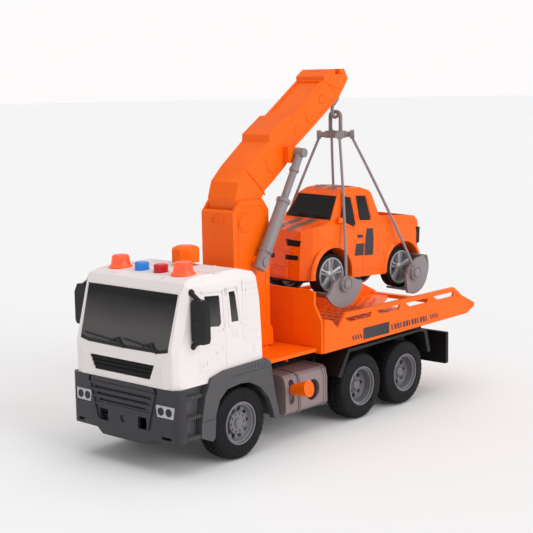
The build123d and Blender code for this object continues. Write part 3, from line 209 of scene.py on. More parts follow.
ORANGE = (0.95, 0.135, 0.001, 1.0)
M = {
    "white": moulded("white_plastic", (0.785, 0.74, 0.727, 1.0), rough=0.45, mottle=0.015, grain=0.06,
                     scuff=0.15, sheen=0.25),
    "orange": moulded("orange_plastic", ORANGE, rough=0.36, mottle=0.035, grain=0.07, sheen=0.2),
    "body": moulded("pickup_orange", (0.95, 0.13, 0.001, 1.0), rough=0.24, mottle=0.02, grain=0.04,
                    sheen=0.3),
    "nose": moulded("bumper_grey", (0.034, 0.031, 0.037, 1.0), rough=0.36, mottle=0.06, grain=0.07,
                    sheen=0.3),
    "grey": moulded("fender_grey", (0.072, 0.070, 0.075, 1.0), rough=0.36, mottle=0.06, grain=0.07),
    "tank": moulded("tank_grey", (0.25, 0.19, 0.195, 1.0), rough=0.4, mottle=0.05, grain=0.08),
    "steel": moulded("crane_grey", (0.245, 0.215, 0.222, 1.0), rough=0.35, mottle=0.05, grain=0.07),
    "black": moulded("black_plastic", (0.011, 0.010, 0.012, 1.0), rough=0.42, mottle=0.15, grain=0.12,
                     scuff=0.4, sheen=0.25),
    "grille": moulded("grille_black", (0.005, 0.004, 0.005, 1.0), rough=0.36, mottle=0.1, grain=0.08,
                      sheen=0.14),
    "silver": moulded("silver_paint", (0.46, 0.455, 0.48, 1.0), rough=0.34, mottle=0.07, grain=0.14,
                      Metallic=0.6),
    "rim": moulded("rim_grey", (0.185, 0.18, 0.195, 1.0), rough=0.36, mottle=0.07, grain=0.12,
                   Metallic=0.3),
    "chrome": moulded("pickup_silver", (0.50, 0.49, 0.51, 1.0), rough=0.34, mottle=0.04, grain=0.05,
                      Metallic=0.35),
    "pin": moulded("steel_pin", (0.5, 0.5, 0.52, 1.0), rough=0.3, mottle=0.05, grain=0.1, Metallic=1.0),
    "blue": moulded("button_blue", (0.02, 0.21, 0.72, 1.0), rough=0.3, mottle=0.03),
    "red": moulded("button_red", (0.56, 0.008, 0.014, 1.0), rough=0.3, mottle=0.03),
    "ink": moulded("printed_ink", (0.040, 0.028, 0.038, 1.0), rough=0.42, mottle=0.2, grain=0.05),
    "print_grey": moulded("printed_grey", (0.21, 0.115, 0.10, 1.0), rough=0.35, mottle=0.1, grain=0.05),
    "board": moulded("circuit_green", (0.02, 0.13, 0.05, 1.0), rough=0.45, mottle=0.2),
    # glass, car_glass and lens carry a painted reflection: paler low down, dark near the top
    "glass": tinted("dark_glazing", (0.006, 0.005, 0.006, 1.0), 0.16, (0.082, 0.077, 0.077, 1.0), 0.088,
                    0.107),
    "car_glass": tinted("pickup_glass", (0.010, 0.009, 0.010, 1.0), 0.14, (0.022, 0.019, 0.020, 1.0), 0.130,
                        0.150),
    "lens": tinted("lamp_lens", (0.018, 0.018, 0.022, 1.0), 0.12, (0.035, 0.033, 0.04, 1.0), 0.028, 0.048),
    "tyre": rubber("tyre_rubber", (0.0082, 0.0072, 0.009, 1.0)),
    "cord": fabric_cord("sling_cord", (0.30, 0.26, 0.27, 1.0)),
    "beacon": lamp_lens("beacon_lens", (1.0, 0.16, 0.02, 1.0),
                        [(-28.1, -27.9, 121.3), (28.1, -27.9, 121.3)]),
}


def paint(material, *nodes):
    for node in nodes:
        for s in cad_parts[node].material_slots:
            s.link = "OBJECT"
            s.material = material


paint(M["white"], "cab_shell")
paint(M["orange"], "roof_knob", "deck_plate", "turret", "boom", "bed_tray", "headboard", "tilt_lever")
paint(M["nose"], "front_bumper")
paint(M["grey"], "fender_steps")
paint(M["tank"], "side_box_left", "side_box_right")
paint(M["black"], "chassis", "rear_fenders", "door_mirrors", "battery_box", "battery_door", "drive_housing",
      "pickup_base", "pickup_trim")
paint(M["grille"], "cab_grille")
paint(M["glass"], "cab_glazing")
paint(M["car_glass"], "pickup_glazing")
paint(M["silver"], "headlight_panels")
paint(M["lens"], "headlight_lenses")
paint(M["rim"], "front_rims_axle", "mid_rims_axle", "rear_rims_axle")
paint(M["chrome"], "pickup_rims_axle_front", "pickup_rims_axle_rear")
paint(M["pin"], "hinge_pins", "chassis_screws", "button_cells", "speaker")
paint(M["steel"], "turret_pins", "boom_pins", "ram_barrel", "ram_rod", "hook", "spreader",
      "cradle_front_left", "cradle_front_right", "cradle_rear_left", "cradle_rear_right")
paint(M["body"], "pickup_body")
paint(M["blue"], "button_blue")
paint(M["red"], "button_red")
paint(M["beacon"], "roof_beacons")
paint(M["board"], "circuit_board")
paint(M["white"], "axle_gear", "flywheel_shaft")
paint(M["tyre"], "pickup_tyres_front", "pickup_tyres_rear")


def round_edges(width, *nodes, angle=38.0):
    """Small moulded radius on a CAD node's sharp edges."""
    for node in nodes:
        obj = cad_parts[node]
        weld = obj.modifiers.new("weld", "WELD")
        weld.merge_threshold = 0.00001
        bevel = obj.modifiers.new("bevel", "BEVEL")
        bevel.width = width * MM
        bevel.segments = 2
        bevel.limit_method = "ANGLE"
        bevel.angle_limit = math.radians(angle)
        bevel.harden_normals = True


round_edges(0.5, "front_bumper", "fender_steps", "headboard", "bed_tray", "turret", "boom", "deck_plate")
round_edges(0.3, "side_box_left", "side_box_right", "cradle_front_left", "cradle_front_right",
            "cradle_rear_left", "cradle_rear_right", "rear_fenders", "door_mirrors")


# ---- mesh helpers ----
class Shape:
    """Collects faces in the row frame, in metres, and turns them into one object."""

    def __init__(self, place=None):
        self.bm = bmesh.new()
        self.place = place

    def point(self, p):
        if self.place is None:
            return at(*p)
        return self.place @ Vector(p) * MM

    def prism(self, outline, depth):
        """A closed outline of points pushed along depth, all in millimetres."""
        near = [self.bm.verts.new(self.point(p)) for p in outline]
        far = [self.bm.verts.new(self.point(Vector(p) + Vector(depth))) for p in outline]
        count = len(outline)
        faces = [self.bm.faces.new(near), self.bm.faces.new(list(reversed(far)))]
        for i in range(count):
            j = (i + 1) % count
            faces.append(self.bm.faces.new((near[j], near[i], far[i], far[j])))
        bmesh.ops.recalc_face_normals(self.bm, faces=faces)

    def plate_x(self, outline, x, depth):
        """An outline of (y, z) points at x."""
        self.prism([(x, y, z) for y, z in outline], (depth, 0, 0))

    def box(self, x0, x1, y0, y1, z0, z1):
        self.plate_x([(y0, z0), (y1, z0), (y1, z1), (y0, z1)], x0, x1 - x0)

    def stroke(self, points, width, normal, height):
        """A raised line through points on a flat surface with that normal."""
        normal = Vector(normal).normalized()
        for a, b in zip(points, points[1:]):
            a, b = Vector(a), Vector(b)
            along = (b - a).normalized()
            across = normal.cross(along) * (width / 2)
            a, b = a - along * (width / 2), b + along * (width / 2)
            low = -normal * 0.15
            self.prism([a - across + low, b - across + low, b + across + low, a + across + low],
                       normal * (height + 0.15))

    def spin(self, profile, origin, axis, sides=48):
        """Turns (along, radius) points about axis through origin, in millimetres."""
        axis = Vector(axis).normalized()
        helper = Vector((0, 0, 1)) if abs(axis.z) < 0.9 else Vector((1, 0, 0))
        u = axis.cross(helper).normalized()
        v = axis.cross(u)
        rings = []
        for along, radius in profile:
            centre = Vector(origin) + axis * along
            if radius < 1e-6:
                rings.append([self.bm.verts.new(self.point(centre))])
                continue
            ring = []
            for i in range(sides):
                turn = 2 * math.pi * i / sides
                outward = u * math.cos(turn) + v * math.sin(turn)
                ring.append(self.bm.verts.new(self.point(centre + outward * radius)))
            rings.append(ring)
        faces = []
        for first, second in zip(rings, rings[1:]):
            for i in range(sides):
                j = (i + 1) % sides
                corners = [first[i % len(first)], first[j % len(first)], second[j % len(second)],
                           second[i % len(second)]]
                corners = list(dict.fromkeys(corners))
                if len(corners) > 2:
                    faces.append(self.bm.faces.new(corners))
        bmesh.ops.recalc_face_normals(self.bm, faces=faces)

    def bar(self, start, end, radius, sides=16):
        axis = Vector(end) - Vector(start)
        length = axis.length
        c = radius * 0.25
        self.spin([(0, 0), (0, radius - c), (c, radius), (length - c, radius), (length, radius - c),
                   (length, 0)],
                  start, axis, sides)

    def done(self, name, material, body, bevel=0.15, smooth=38.0):
        mesh = bpy.data.meshes.new(name)
        self.bm.to_mesh(mesh)
        self.bm.free()
        obj = bpy.data.objects.new(name, mesh)
        bpy.context.scene.collection.objects.link(obj)
        mesh.materials.append(material)
        for face in mesh.polygons:
            face.use_smooth = True
        mesh.set_sharp_from_angle(angle=math.radians(smooth))
        if bevel:
            mod = obj.modifiers.new("bevel", "BEVEL")
            mod.width = bevel * MM
            mod.segments = 2
            mod.limit_method = "ANGLE"
            mod.angle_limit = math.radians(40)
            mod.harden_normals = True
        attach(obj, body)
        return obj


# ---- sling ropes: three strands twisted along each route ----
def route_points(name, points, samples=24):
    """Points read from the smooth spline that the rope follows."""
    curve = bpy.data.curves.new(name, "CURVE")
    curve.dimensions = "3D"
    curve.resolution_u = samples
    spline = curve.splines.new("NURBS")
    spline.points.add(len(points) - 1)
    for control, p in zip(spline.points, points):
        control.co = (*at(*p), 1.0)
    spline.order_u = 3
    spline.use_endpoint_u = True
    obj = bpy.data.objects.new(name, curve)
    bpy.context.scene.collection.objects.link(obj)
    bpy.context.view_layer.update()
    mesh = bpy.data.meshes.new_from_object(obj)
    path = [v.co.copy() for v in mesh.vertices]
    bpy.data.objects.remove(obj)
    bpy.data.meshes.remove(mesh)
    if (path[0] - at(*points[0])).length > (path[-1] - at(*points[0])).length:
        path.reverse()
    return path


def resampled(path, step):
    """The path again, at an even spacing."""
    out, left = [path[0]], step
    for a, b in zip(path, path[1:]):
        length = (b - a).length
        while left < length:
            out.append(a.lerp(b, left / length))
            left += step
        left -= length
    out.append(path[-1])
    return out


def twisted_rope(name, points, radius, twist):
    path = resampled(route_points(name + "_route", points), 0.0006)
    bm = bmesh.new()
    strand_r = radius * 0.54
    offset = radius - strand_r
    sides = 7
    travelled = 0.0
    rings = [[], [], []]
    for i, p in enumerate(path):
        ahead = path[min(i + 1, len(path) - 1)] - path[max(i - 1, 0)]
        ahead.normalize()
        u = ahead.cross(Vector((0, 1, 0))).normalized()
        v = ahead.cross(u)
        if i:
            travelled += (p - path[i - 1]).length
        for k in range(3):
            turn = travelled / (twist * MM) * 2 * math.pi + k * 2 * math.pi / 3
            centre = p + (u * math.cos(turn) + v * math.sin(turn)) * offset * MM
            ring = []
            for s in range(sides):
                a = 2 * math.pi * s / sides
                ring.append(bm.verts.new(centre + (u * math.cos(a) + v * math.sin(a)) * strand_r * MM))
            rings[k].append(ring)
    for strand in rings:
        for first, second in zip(strand, strand[1:]):
            for s in range(sides):
                t = (s + 1) % sides
                bm.faces.new((first[s], first[t], second[t], second[s]))
        bm.faces.new(strand[0])
        bm.faces.new(list(reversed(strand[-1])))
    bmesh.ops.recalc_face_normals(bm, faces=bm.faces)
    mesh = bpy.data.meshes.new(name)
    bm.to_mesh(mesh)
    bm.free()
    mesh.materials.append(M["cord"])
    for face in mesh.polygons:
        face.use_smooth = True
    obj = bpy.data.objects.new(name, mesh)
    bpy.context.scene.collection.objects.link(obj)
    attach(obj, "slings")
    return obj


ROPES = {
    "front_left": [(9.4, 147.8, 191.6), (25.17, 133.05, 145.13), (36.94, 119.10, 98.65)],
    "front_right": [(-9.4, 147.8, 191.6), (-25.16, 135.35, 145.71), (-36.91, 123.70, 99.83)],
    "rear_left": [(9.4, 162.2, 191.6), (27.44, 177.64, 144.69), (41.48, 192.28, 97.77)],
    "rear_right": [(-9.4, 162.2, 191.6), (-22.88, 179.94, 145.27), (-32.36, 196.89, 98.95)],
}
for corner, points in ROPES.items():
    rope = twisted_rope("sling_rope_" + corner, points, 1.1, 5.6)
    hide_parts("rope_" + corner)


# ---- truck tyres: shoulder lugs, two zigzag grooves, sidewall rings ----
TYRE_R, TYRE_W, FACE_X = 23.0, 17.0, 47.3
TREAD_STEPS = 240
NOTCH_DEPTH = 0.5
SIDEWALL = [(16.2, 13.6), (16.75, 14.1), (17.0, 15.1), (17.0, 15.9), (16.82, 16.3), (16.85, 18.6),
            (16.75, 19.3), (16.5, 19.7)]


def truck_tyres(name, axle_y, body, node):
    sides = TREAD_STEPS
    bm = bmesh.new()
    for side in (-1, 1):
        rows = [(x, r, 0.0, 0.0) for x, r in SIDEWALL]
        rows += [(16.35, 20.6, 0.45, 0.0), (16.0, 21.8, 0.85, 0.0), (15.2, 22.55, 1.0, 0.0),
                 (13.9, 22.9, 1.0, 0.0), (12.3, 23.0, 0.9, 0.0), (12.0, 22.95, 0.0, 0.0)]
        rows += [(11.3, 23.0, 0.0, 0.35), (11.1, 21.9, 0.0, 0.35), (10.3, 21.9, 0.0, 0.35),
                 (10.1, 23.0, 0.0, 0.35)]
        rows += [(8.5, 23.0, 0.0, 0.0)]
        rows += [(6.9, 23.0, 0.0, 0.35), (6.7, 21.9, 0.0, 0.35), (5.9, 21.9, 0.0, 0.35),
                 (5.7, 23.0, 0.0, 0.35)]
        rows += [(5.0, 22.95, 0.0, 0.0), (4.7, 23.0, 0.9, 0.0), (3.1, 22.9, 1.0, 0.0),
                 (1.8, 22.5, 1.0, 0.0),
                 (1.0, 21.6, 0.7, 0.0), (0.3, 20.2, 0.0, 0.0), (0.0, 18.0, 0.0, 0.0), (0.0, 15.0, 0.0, 0.0),
                 (0.6, 13.6, 0.0, 0.0)]
        rings = []
        for x, r, notch, wave in rows:
            ring = []
            for i in range(sides):
                phase = i % 6
                offset = 3 if x < 8 else 0
                cut = NOTCH_DEPTH * notch if (phase + offset) % 6 in (0, 1) else 0.0
                zig = wave * (1.0 if (i // 3) % 2 else -1.0)
                turn = 2 * math.pi * i / sides
                place = at(side * (FACE_X - TYRE_W + x + zig), axle_y + (r - cut) * math.cos(turn),
                           TYRE_R + (r - cut) * math.sin(turn))
                ring.append(bm.verts.new(place))
            rings.append(ring)
        rings.append(rings[0])
        for first, second in zip(rings, rings[1:]):
            for i in range(sides):
                j = (i + 1) % sides
                bm.faces.new((first[i], first[j], second[j], second[i]))
    bmesh.ops.recalc_face_normals(bm, faces=bm.faces)
    mesh = bpy.data.meshes.new(name)
    bm.to_mesh(mesh)
    bm.free()
    mesh.materials.append(M["tyre"])
    for face in mesh.polygons:
        face.use_smooth = True
    mesh.set_sharp_from_angle(angle=math.radians(32))
    obj = bpy.data.objects.new(name, mesh)
    bpy.context.scene.collection.objects.link(obj)
    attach(obj, body)
    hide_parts(node)


truck_tyres("truck_tyres_front", 0.0, "front_wheels", "front_tyres")
truck_tyres("truck_tyres_mid", 123.0, "mid_wheels", "mid_tyres")
truck_tyres("truck_tyres_rear", 174.0, "rear_wheels", "rear_tyres")


# ---- cab: moulded door lines, ribs, roof plates, wipers ----
def mirrored(points, side):
    return [(side * x, y, z) for x, y, z in points]


def cab_side_lines():
    s = Shape()
    for side in (-1, 1):
        out = (side, 0, 0)

        def line(points, width=0.5, height=0.3):
            s.stroke([(side * 45.95, y, z) for y, z in points], width, out, height)

        line([(-34.4, 62.0), (-34.4, 76.6), (-10.6, 76.6)], 0.45, 0.22)
        line([(-10.6, 60.0), (-10.6, 109.0)], 0.45, 0.25)
        line([(-31.6, 85.6), (-13.0, 84.2), (-11.8, 85.8), (-13.0, 108.2), (-31.0, 109.2)], 0.7, 0.4)
        line([(-7.6, 85.2), (3.0, 85.2), (-0.4, 108.9), (-9.6, 108.9), (-7.6, 85.2)], 0.6, 0.35)
        line([(-19.6, 73.4), (-19.6, 70.4), (-16.8, 70.4)], 0.45, 0.35)
        line([(-13.9, 74.0), (-13.9, 71.6)], 0.45, 0.35)
        line([(-33.2, 67.6), (-33.2, 61.0), (-25.2, 61.8)], 0.4, 0.25)
        line([(-31.0, 66.6), (-31.0, 64.0), (-27.4, 64.4), (-27.4, 67.0), (-31.0, 66.6)], 0.45, 0.4)
        for y in (-4.6, -2.4, -0.2):
            line([(y, 78.0), (y, 83.0)], 0.35, 0.25)
        line([(4.8, 112.0), (4.8, 78.0), (6.6, 74.6), (20.6, 74.6)], 0.45, 0.28)
        for i in range(9):
            z = 80.2 + 3.7 * i
            reach = 21.6 - 0.065 * (z - 53.5)
            line([(7.4, z), (reach - 0.9, z)], 0.4, 0.22)
            if i < 8 and i % 2 == 0:
                line([(7.4, z), (7.4, z + 3.7)], 0.4, 0.22)
        line([(13.6, 66.8), (13.6, 70.8)], 0.4, 0.25)
        line([(15.2, 66.8), (15.2, 70.8)], 0.4, 0.25)
    s.done("cab_side_mouldings", M["white"], "truck", bevel=0.08)


def cab_roof_lines():
    s = Shape()
    top = 118.35
    up = (0, 0, 1)
    for i in range(5):
        x = -34.0 + 17.0 * i
        s.stroke([(x - 6.6, -14.6, top), (x + 6.6, -14.6, top), (x + 6.6, -9.6, top), (x - 6.6, -9.6, top),
                  (x - 6.6, -14.6, top)], 0.5, up, 0.3)
    for side in (-1, 1):
        for i in range(7):
            y = -16.0 + 3.6 * i
            s.stroke([(side * 15.0, y, top), (side * 38.6, y, top)], 0.45, up, 0.22)
    for i in range(4):
        s.stroke([(-34.0 + 18.0 * i, 5.0, top), (-34.0 + 18.0 * i, 7.6, top)], 0.9, up, 0.35)
    s.done("cab_roof_mouldings", M["white"], "truck", bevel=0.08)


WIND_LEAN = math.atan2(8.4, 30.6)


def screen(x, z, lift=0.0):
    """A point on the leaning windscreen, lifted off it."""
    y = -52.5 + (8.4 / 30.6 * (z - 79.0) if z > 79.0 else 0.169 * (z - 79.0))
    return (x, y - lift * math.cos(WIND_LEAN), z + lift * math.sin(WIND_LEAN))


def wipers():
    s = Shape()
    out = (0, -math.cos(WIND_LEAN), math.sin(WIND_LEAN))
    for x0, x1 in ((-36.0, -2.4), (0.6, 27.0)):
        for a, b, width, height in ((0.0, 0.94, 0.9, 0.5), (0.12, 0.82, 0.6, 1.0)):
            z0, z1 = 79.4, 76.6
            p = screen(x0 + (x1 - x0) * a, z0 + (z1 - z0) * a)
            q = screen(x0 + (x1 - x0) * b, z0 + (z1 - z0) * b)
            s.stroke([p, q], width, out, height)
        s.stroke([screen(x1 - 9.0, 77.0), screen(x1 - 1.6, 79.2), screen(x1 + 0.4, 76.6),
                  screen(x1 + 2.6, 74.8)],
                 1.0, out, 1.1)
        s.bar(screen(x1 + 2.6, 74.9), screen(x1 + 2.6, 74.9, 1.2), 1.2)
    lower = [(-39.0, 76.0), (-32, 74.6), (0, 74.2), (32, 74.6), (39.0, 76.0)]
    for (xa, za), (xb, zb) in zip(lower, lower[1:]):
        s.prism([screen(xa, za), screen(xb, zb), screen(xb, zb + 1.5), screen(xa, za + 1.5)],
                (0, -0.45 * math.cos(WIND_LEAN), 0.45 * math.sin(WIND_LEAN)))
    s.done("windscreen_wipers", M["black"], "truck", bevel=0.1)


def window_frames():
    """The slim lip round the windscreen."""
    s = Shape()
    rim = [(-40.0, 76.2), (-40.2, 79.4), (-40.9, 110.0), (40.9, 110.0), (40.2, 79.4), (40.0, 76.2)]
    for (xa, za), (xb, zb) in zip(rim, rim[1:]):
        s.stroke([screen(xa, za, 0.35), screen(xb, zb, 0.35)], 0.55,
                 (0, -math.cos(WIND_LEAN), math.sin(WIND_LEAN)),
                 0.3)
    s.done("windscreen_lip", M["white"], "truck", bevel=0.1)


def bumper_details():
    """The raised edges of the bumper's middle and the slats between its grooves."""
    s = Shape()
    out = (0, -1, 0)
    for side in (-1, 1):
        s.stroke([(side * 29.2, -55.4, 49.2), (side * 22.6, -55.45, 27.0)], 1.3, out, 1.0)
    for z, reach in ((49.4, 27.4), (44.95, 26.4), (41.15, 25.2), (36.5, 23.8)):
        s.stroke([(-reach, -55.45, z), (reach, -55.45, z)], 1.9, out, 0.6)
    s.done("bumper_slats", M["nose"], "truck", bevel=0.3)


def mirror_details():
    """Glass on the back of each mirror and the ribs of its housing."""
    glass = Shape()
    ribs = Shape()
    for side in (-1, 1):
        glass.prism(mirrored([(49.2, -36.65, 83.0), (56.8, -36.65, 83.4), (57.2, -36.65, 100.4),
                              (55.0, -36.65, 104.2), (49.4, -36.65, 104.2)], side), (0, 0.25, 0))
        ribs.prism(mirrored([(48.6, -41.35, 93.8), (57.6, -41.35, 93.8), (57.6, -41.35, 94.6),
                             (48.6, -41.35, 94.6)], side), (0, -0.25, 0))
    glass.done("mirror_glass", M["silver"], "truck", bevel=0.1)
    ribs.done("mirror_ribs", M["black"], "truck", bevel=0.08)


cab_side_lines()
cab_roof_lines()
wipers()
window_frames()
mirror_details()
bumper_details()


# ---- side box straps, bed pattern and prints ----
def box_straps():
    s = Shape()
    section = [(41.9, 16.3), (44.75, 18.9), (44.75, 36.2), (43.35, 42.1), (40.9, 43.8), (25.0, 44.6)]
    for side in (-1, 1):
        for y in (58.6, 86.6):
            for (xa, za), (xb, zb) in zip(section, section[1:]):
                a, b = (side * xa, y, za), (side * xb, y, zb)
                c, d = (side * (xb - 0.6), y, zb - 0.6), (side * (xa - 0.6), y, za - 0.3)
                s.prism([a, b, c, d], (0, 1.0, 0))
    s.done("side_box_straps", M["tank"], "truck", bevel=0.15)


def bed_tread():
    """Small raised diamonds moulded into the bed floor."""
    s = Shape()
    for row in range(26):
        for col in range(13):
            y = 90.0 + 6.0 * row
            x = -39.0 + 6.5 * col + (3.25 if row % 2 else 0.0)
            if abs(x) > 41.0 or (y > 214.0 and abs(x) < 12.0 + (y - 214.0) * 0.5):
                continue
            z = 57.45 + 0.01636 * (y - 81.0)
            lean = 1.0 if (row + col) % 2 else -1.0
            s.prism([(x - 1.7, y - 0.8 * lean, z), (x - 1.5, y - 0.8 * lean - 0.5, z),
                     (x + 1.7, y + 0.8 * lean, z), (x + 1.5, y + 0.8 * lean + 0.5, z)], (0, 0, 0.35))
    s.done("bed_floor_tread", M["orange"], "bed", bevel=0)


def bed_prints():
    """Generic marks printed on the bed's sides: slanted stripes, a dark block and a broken bar."""
    s = Shape()
    for side in (-1, 1):

        def patch(y0, y1, z0, z1, lean):
            s.prism([(side * 48.0, y0, z0), (side * 48.0, y1, z0), (side * 48.0, y1 + lean, z1),
                     (side * 48.0, y0 + lean, z1)], (side * 0.08, 0, 0))

        for i in range(4):
            patch(112.2 + 2.9 * i, 113.8 + 2.9 * i, 56.9, 60.2, -1.6)
            patch(205.0 + 2.7 * i, 206.4 + 2.7 * i, 57.5, 61.0, -1.6)
        patch(123.5, 153.5, 55.6, 63.6, 0.0)
        for i in range(13):
            y = 156.6 + 3.5 * i
            patch(y, y + (2.4 if i % 3 else 1.5), 57.0, 61.1, -0.8)
    s.done("bed_side_print", M["ink"], "bed", bevel=0)


box_straps()
bed_tread()
bed_prints()


# ---- boom: raised panels along both cheeks, turret plates ----
def boom_details():
    s = Shape()
    slope = math.atan2(232.8 - 193.3, 127.2 - 69.9)
    c, k = math.cos(slope), math.sin(slope)
    for side in (-1, 1):
        out = (side, 0, 0)
        face = side * 12.25

        def line(points, width=0.6, height=0.4):
            s.stroke([(face, y, z) for y, z in points], width, out, height)

        line([(48.2, 174.6), (53.4, 170.2), (60.2, 163.4), (63.9, 158.6)], 0.9, 0.7)
        line([(64.4, 180.8), (73.2, 171.4)], 0.8, 0.5)
        line([(66.6, 181.0), (68.4, 173.0), (72.2, 174.6)], 0.6, 0.4)
        for y, z, r in ((80.0, 187.0, 3.2), (98.5, 199.6, 3.2), (124.8, 219.6, 3.0)):
            ring = [(y + r * math.cos(t * math.pi / 8), z + r * math.sin(t * math.pi / 8)) for t in range(2,
                                                                                                          15)]
            line(ring, 0.5, 0.35)
        line([(107.0, 208.6), (110.4, 204.4), (116.0, 208.4)], 0.6, 0.4)
        line([(92.4, 206.2), (96.4, 208.8), (124.0, 228.6)], 0.5, 0.35)
        line([(88.4, 186.0), (112.6, 202.4), (131.0, 214.6), (141.6, 222.2)], 0.8, 0.45)
        line([(134.6, 236.0), (133.4, 229.0), (140.0, 224.2)], 0.7, 0.4)
        for y, z in ((76.0, 176.4), (83.0, 181.6)):
            line([(y - 2.4 * c + 1.2 * k, z - 2.4 * k - 1.2 * c),
                  (y + 2.4 * c + 1.2 * k, z + 2.4 * k - 1.2 * c)], 0.5,
                 0.35)
    s.done("boom_mouldings", M["orange"], "crane_boom", bevel=0.12)


def turret_details():
    s = Shape()
    for side in (-1, 1):
        face = side * 14.05
        out = (side, 0, 0)
        outline = [(36.0, 75.0), (36.0, 146.4), (40.0, 152.4), (58.0, 152.4), (62.0, 147.4), (62.0, 76.0)]
        s.stroke([(face, y, z) for y, z in outline], 0.7, out, 0.35)
        ring = [(42.3 + 6.6 * math.cos(t * math.pi / 10), 141.8 + 6.6 * math.sin(t * math.pi / 10))
                for t in range(3, 18)]
        s.stroke([(face, y, z) for y, z in ring], 0.6, out, 0.35)
        s.spin([(0.0, 3.6), (0.5, 3.6), (0.8, 3.2), (0.9, 0.0)], (face, 42.3, 141.8), out, 40)
    s.done("turret_mouldings", M["orange"], "crane_turret", bevel=0.12)


boom_details()
turret_details()


# ---- pickup, in its own millimetres: y 0 and z 0 at its front axle ----
LOAD = (Matrix.Translation((0.0, 121.2 + SHIFT, 99.2)) @ Matrix.Rotation(math.radians(-3.53), 4, "Z")
        @ Matrix.Rotation(math.radians(-2.33), 4, "X") @ Matrix.Rotation(math.radians(0.91), 4, "Y"))
SECTION = [(25.0, -8.0), (25.0, 24.0), (23.6, 34.5), (22.0, 38.4), (18.6, 54.6), (14.6, 59.2)]
BONNET = [(-25.4, 31.0), (-20.0, 33.4), (-6.0, 35.6), (-1.1, 37.4)]
ROOF = [(14.0, 58.2), (22.0, 60.0), (36.0, 59.6), (44.6, 57.0)]


def flank(z):
    """Half the body's width at a height."""
    for (xa, za), (xb, zb) in zip(SECTION, SECTION[1:]):
        if z <= zb:
            return xa + (xb - xa) * max(0.0, z - za) / (zb - za)
    return SECTION[-1][0]


def flank_line(s, side, points, width, height):
    """A raised line down the pickup's side, following its section."""
    fine = []
    for (ya, za), (yb, zb) in zip(points, points[1:]):
        steps = max(1, int(abs(zb - za) / 4))
        fine += [(ya + (yb - ya) * i / steps, za + (zb - za) * i / steps) for i in range(steps)]
    fine.append(points[-1])
    s.stroke([(side * (flank(z) - 0.05), y, z) for y, z in fine], width, (side, 0, 0.12), height)


def pickup_mouldings():
    s = Shape(LOAD)
    for side in (-1, 1):
        for centre in (0.0, 75.3):
            rings = []
            for i in range(33):
                turn = math.radians(-8 + 196 * i / 32)
                c, k = math.cos(turn), math.sin(turn)
                ring = []
                for r, x in ((18.5, 24.3), (18.6, 26.1), (19.6, 26.4), (21.0, 25.9), (22.0, 24.6)):
                    z = 0.6 + r * k
                    ring.append(s.bm.verts.new(s.point((side * min(x, flank(z) + x - 25.0), centre + r * c,
                                                        z))))
                rings.append(ring)
            faces = []
            for first, second in zip(rings, rings[1:]):
                for j in range(5):
                    t = (j + 1) % 5
                    faces.append(s.bm.faces.new((first[j], first[t], second[t], second[j])))
            faces += [s.bm.faces.new(rings[0]), s.bm.faces.new(list(reversed(rings[-1])))]
            bmesh.ops.recalc_face_normals(s.bm, faces=faces)
        flank_line(s, side, [(31.0, 36.0), (31.8, -1.0)], 0.45, 0.3)
        flank_line(s, side, [(6.2, 37.0), (6.2, 20.0)], 0.4, 0.25)
        flank_line(s, side, [(45.0, 37.6), (45.4, 22.0), (49.0, 12.0)], 0.45, 0.3)
        flank_line(s, side, [(7.2, 37.8), (13.6, 34.2), (21.4, 31.0), (24.4, 33.6), (25.1, 40.0),
                             (23.2, 53.6), (14.8, 54.8), (7.2, 37.8)], 0.8, 0.45)
        flank_line(s, side, [(27.7, 35.4), (40.6, 35.0), (42.4, 37.8), (39.4, 54.4), (26.9, 54.8),
                             (27.7, 35.4)], 0.8,
                   0.45)
        flank_line(s, side, [(22.0, 2.0), (52.0, 2.0)], 1.2, 0.8)
        flank_line(s, side, [(48.0, 34.0), (90.0, 33.2)], 0.6, 0.5)
        s.prism([(side * 23.2, 3.6, 35.6), (side * 23.2, 8.6, 35.4), (side * 23.2, 8.4, 38.8),
                 (side * 23.2, 4.4, 39.4)],
                (side * 2.6, -0.6, 0.6))
    s.prism([(-8.0, -28.9, -1.4), (8.0, -28.9, -1.4), (8.0, -28.9, 5.8), (-8.0, -28.9, 5.8)], (0, 2.0, 0))
    s.stroke([(-6.6, -28.9, 0.0), (6.6, -28.9, 0.0), (6.6, -28.9, 4.4), (-6.6, -28.9, 4.4),
              (-6.6, -28.9, 0.0)], 0.5,
             (0, -1, 0), 0.3)
    s.stroke([(-13.4, -27.2, 9.2), (13.4, -27.2, 9.2)], 1.0, (0, -1, 0), 0.6)
    s.stroke([(-13.4, -27.2, 17.4), (13.4, -27.2, 17.4)], 1.0, (0, -1, 0), 0.6)
    for side in (-1, 1):
        s.stroke([(side * 16.5, -23.0, 33.0), (side * 17.5, -6.0, 36.2), (side * 18.6, -1.6, 37.6)], 0.7,
                 (0, 0, 1), 0.35)
        s.stroke([(side * 12.5, 20.0, 59.6), (side * 12.5, 40.0, 58.6)], 0.7, (0, 0, 1), 0.35)
    s.done("pickup_mouldings", M["body"], "pickup", bevel=0.12)


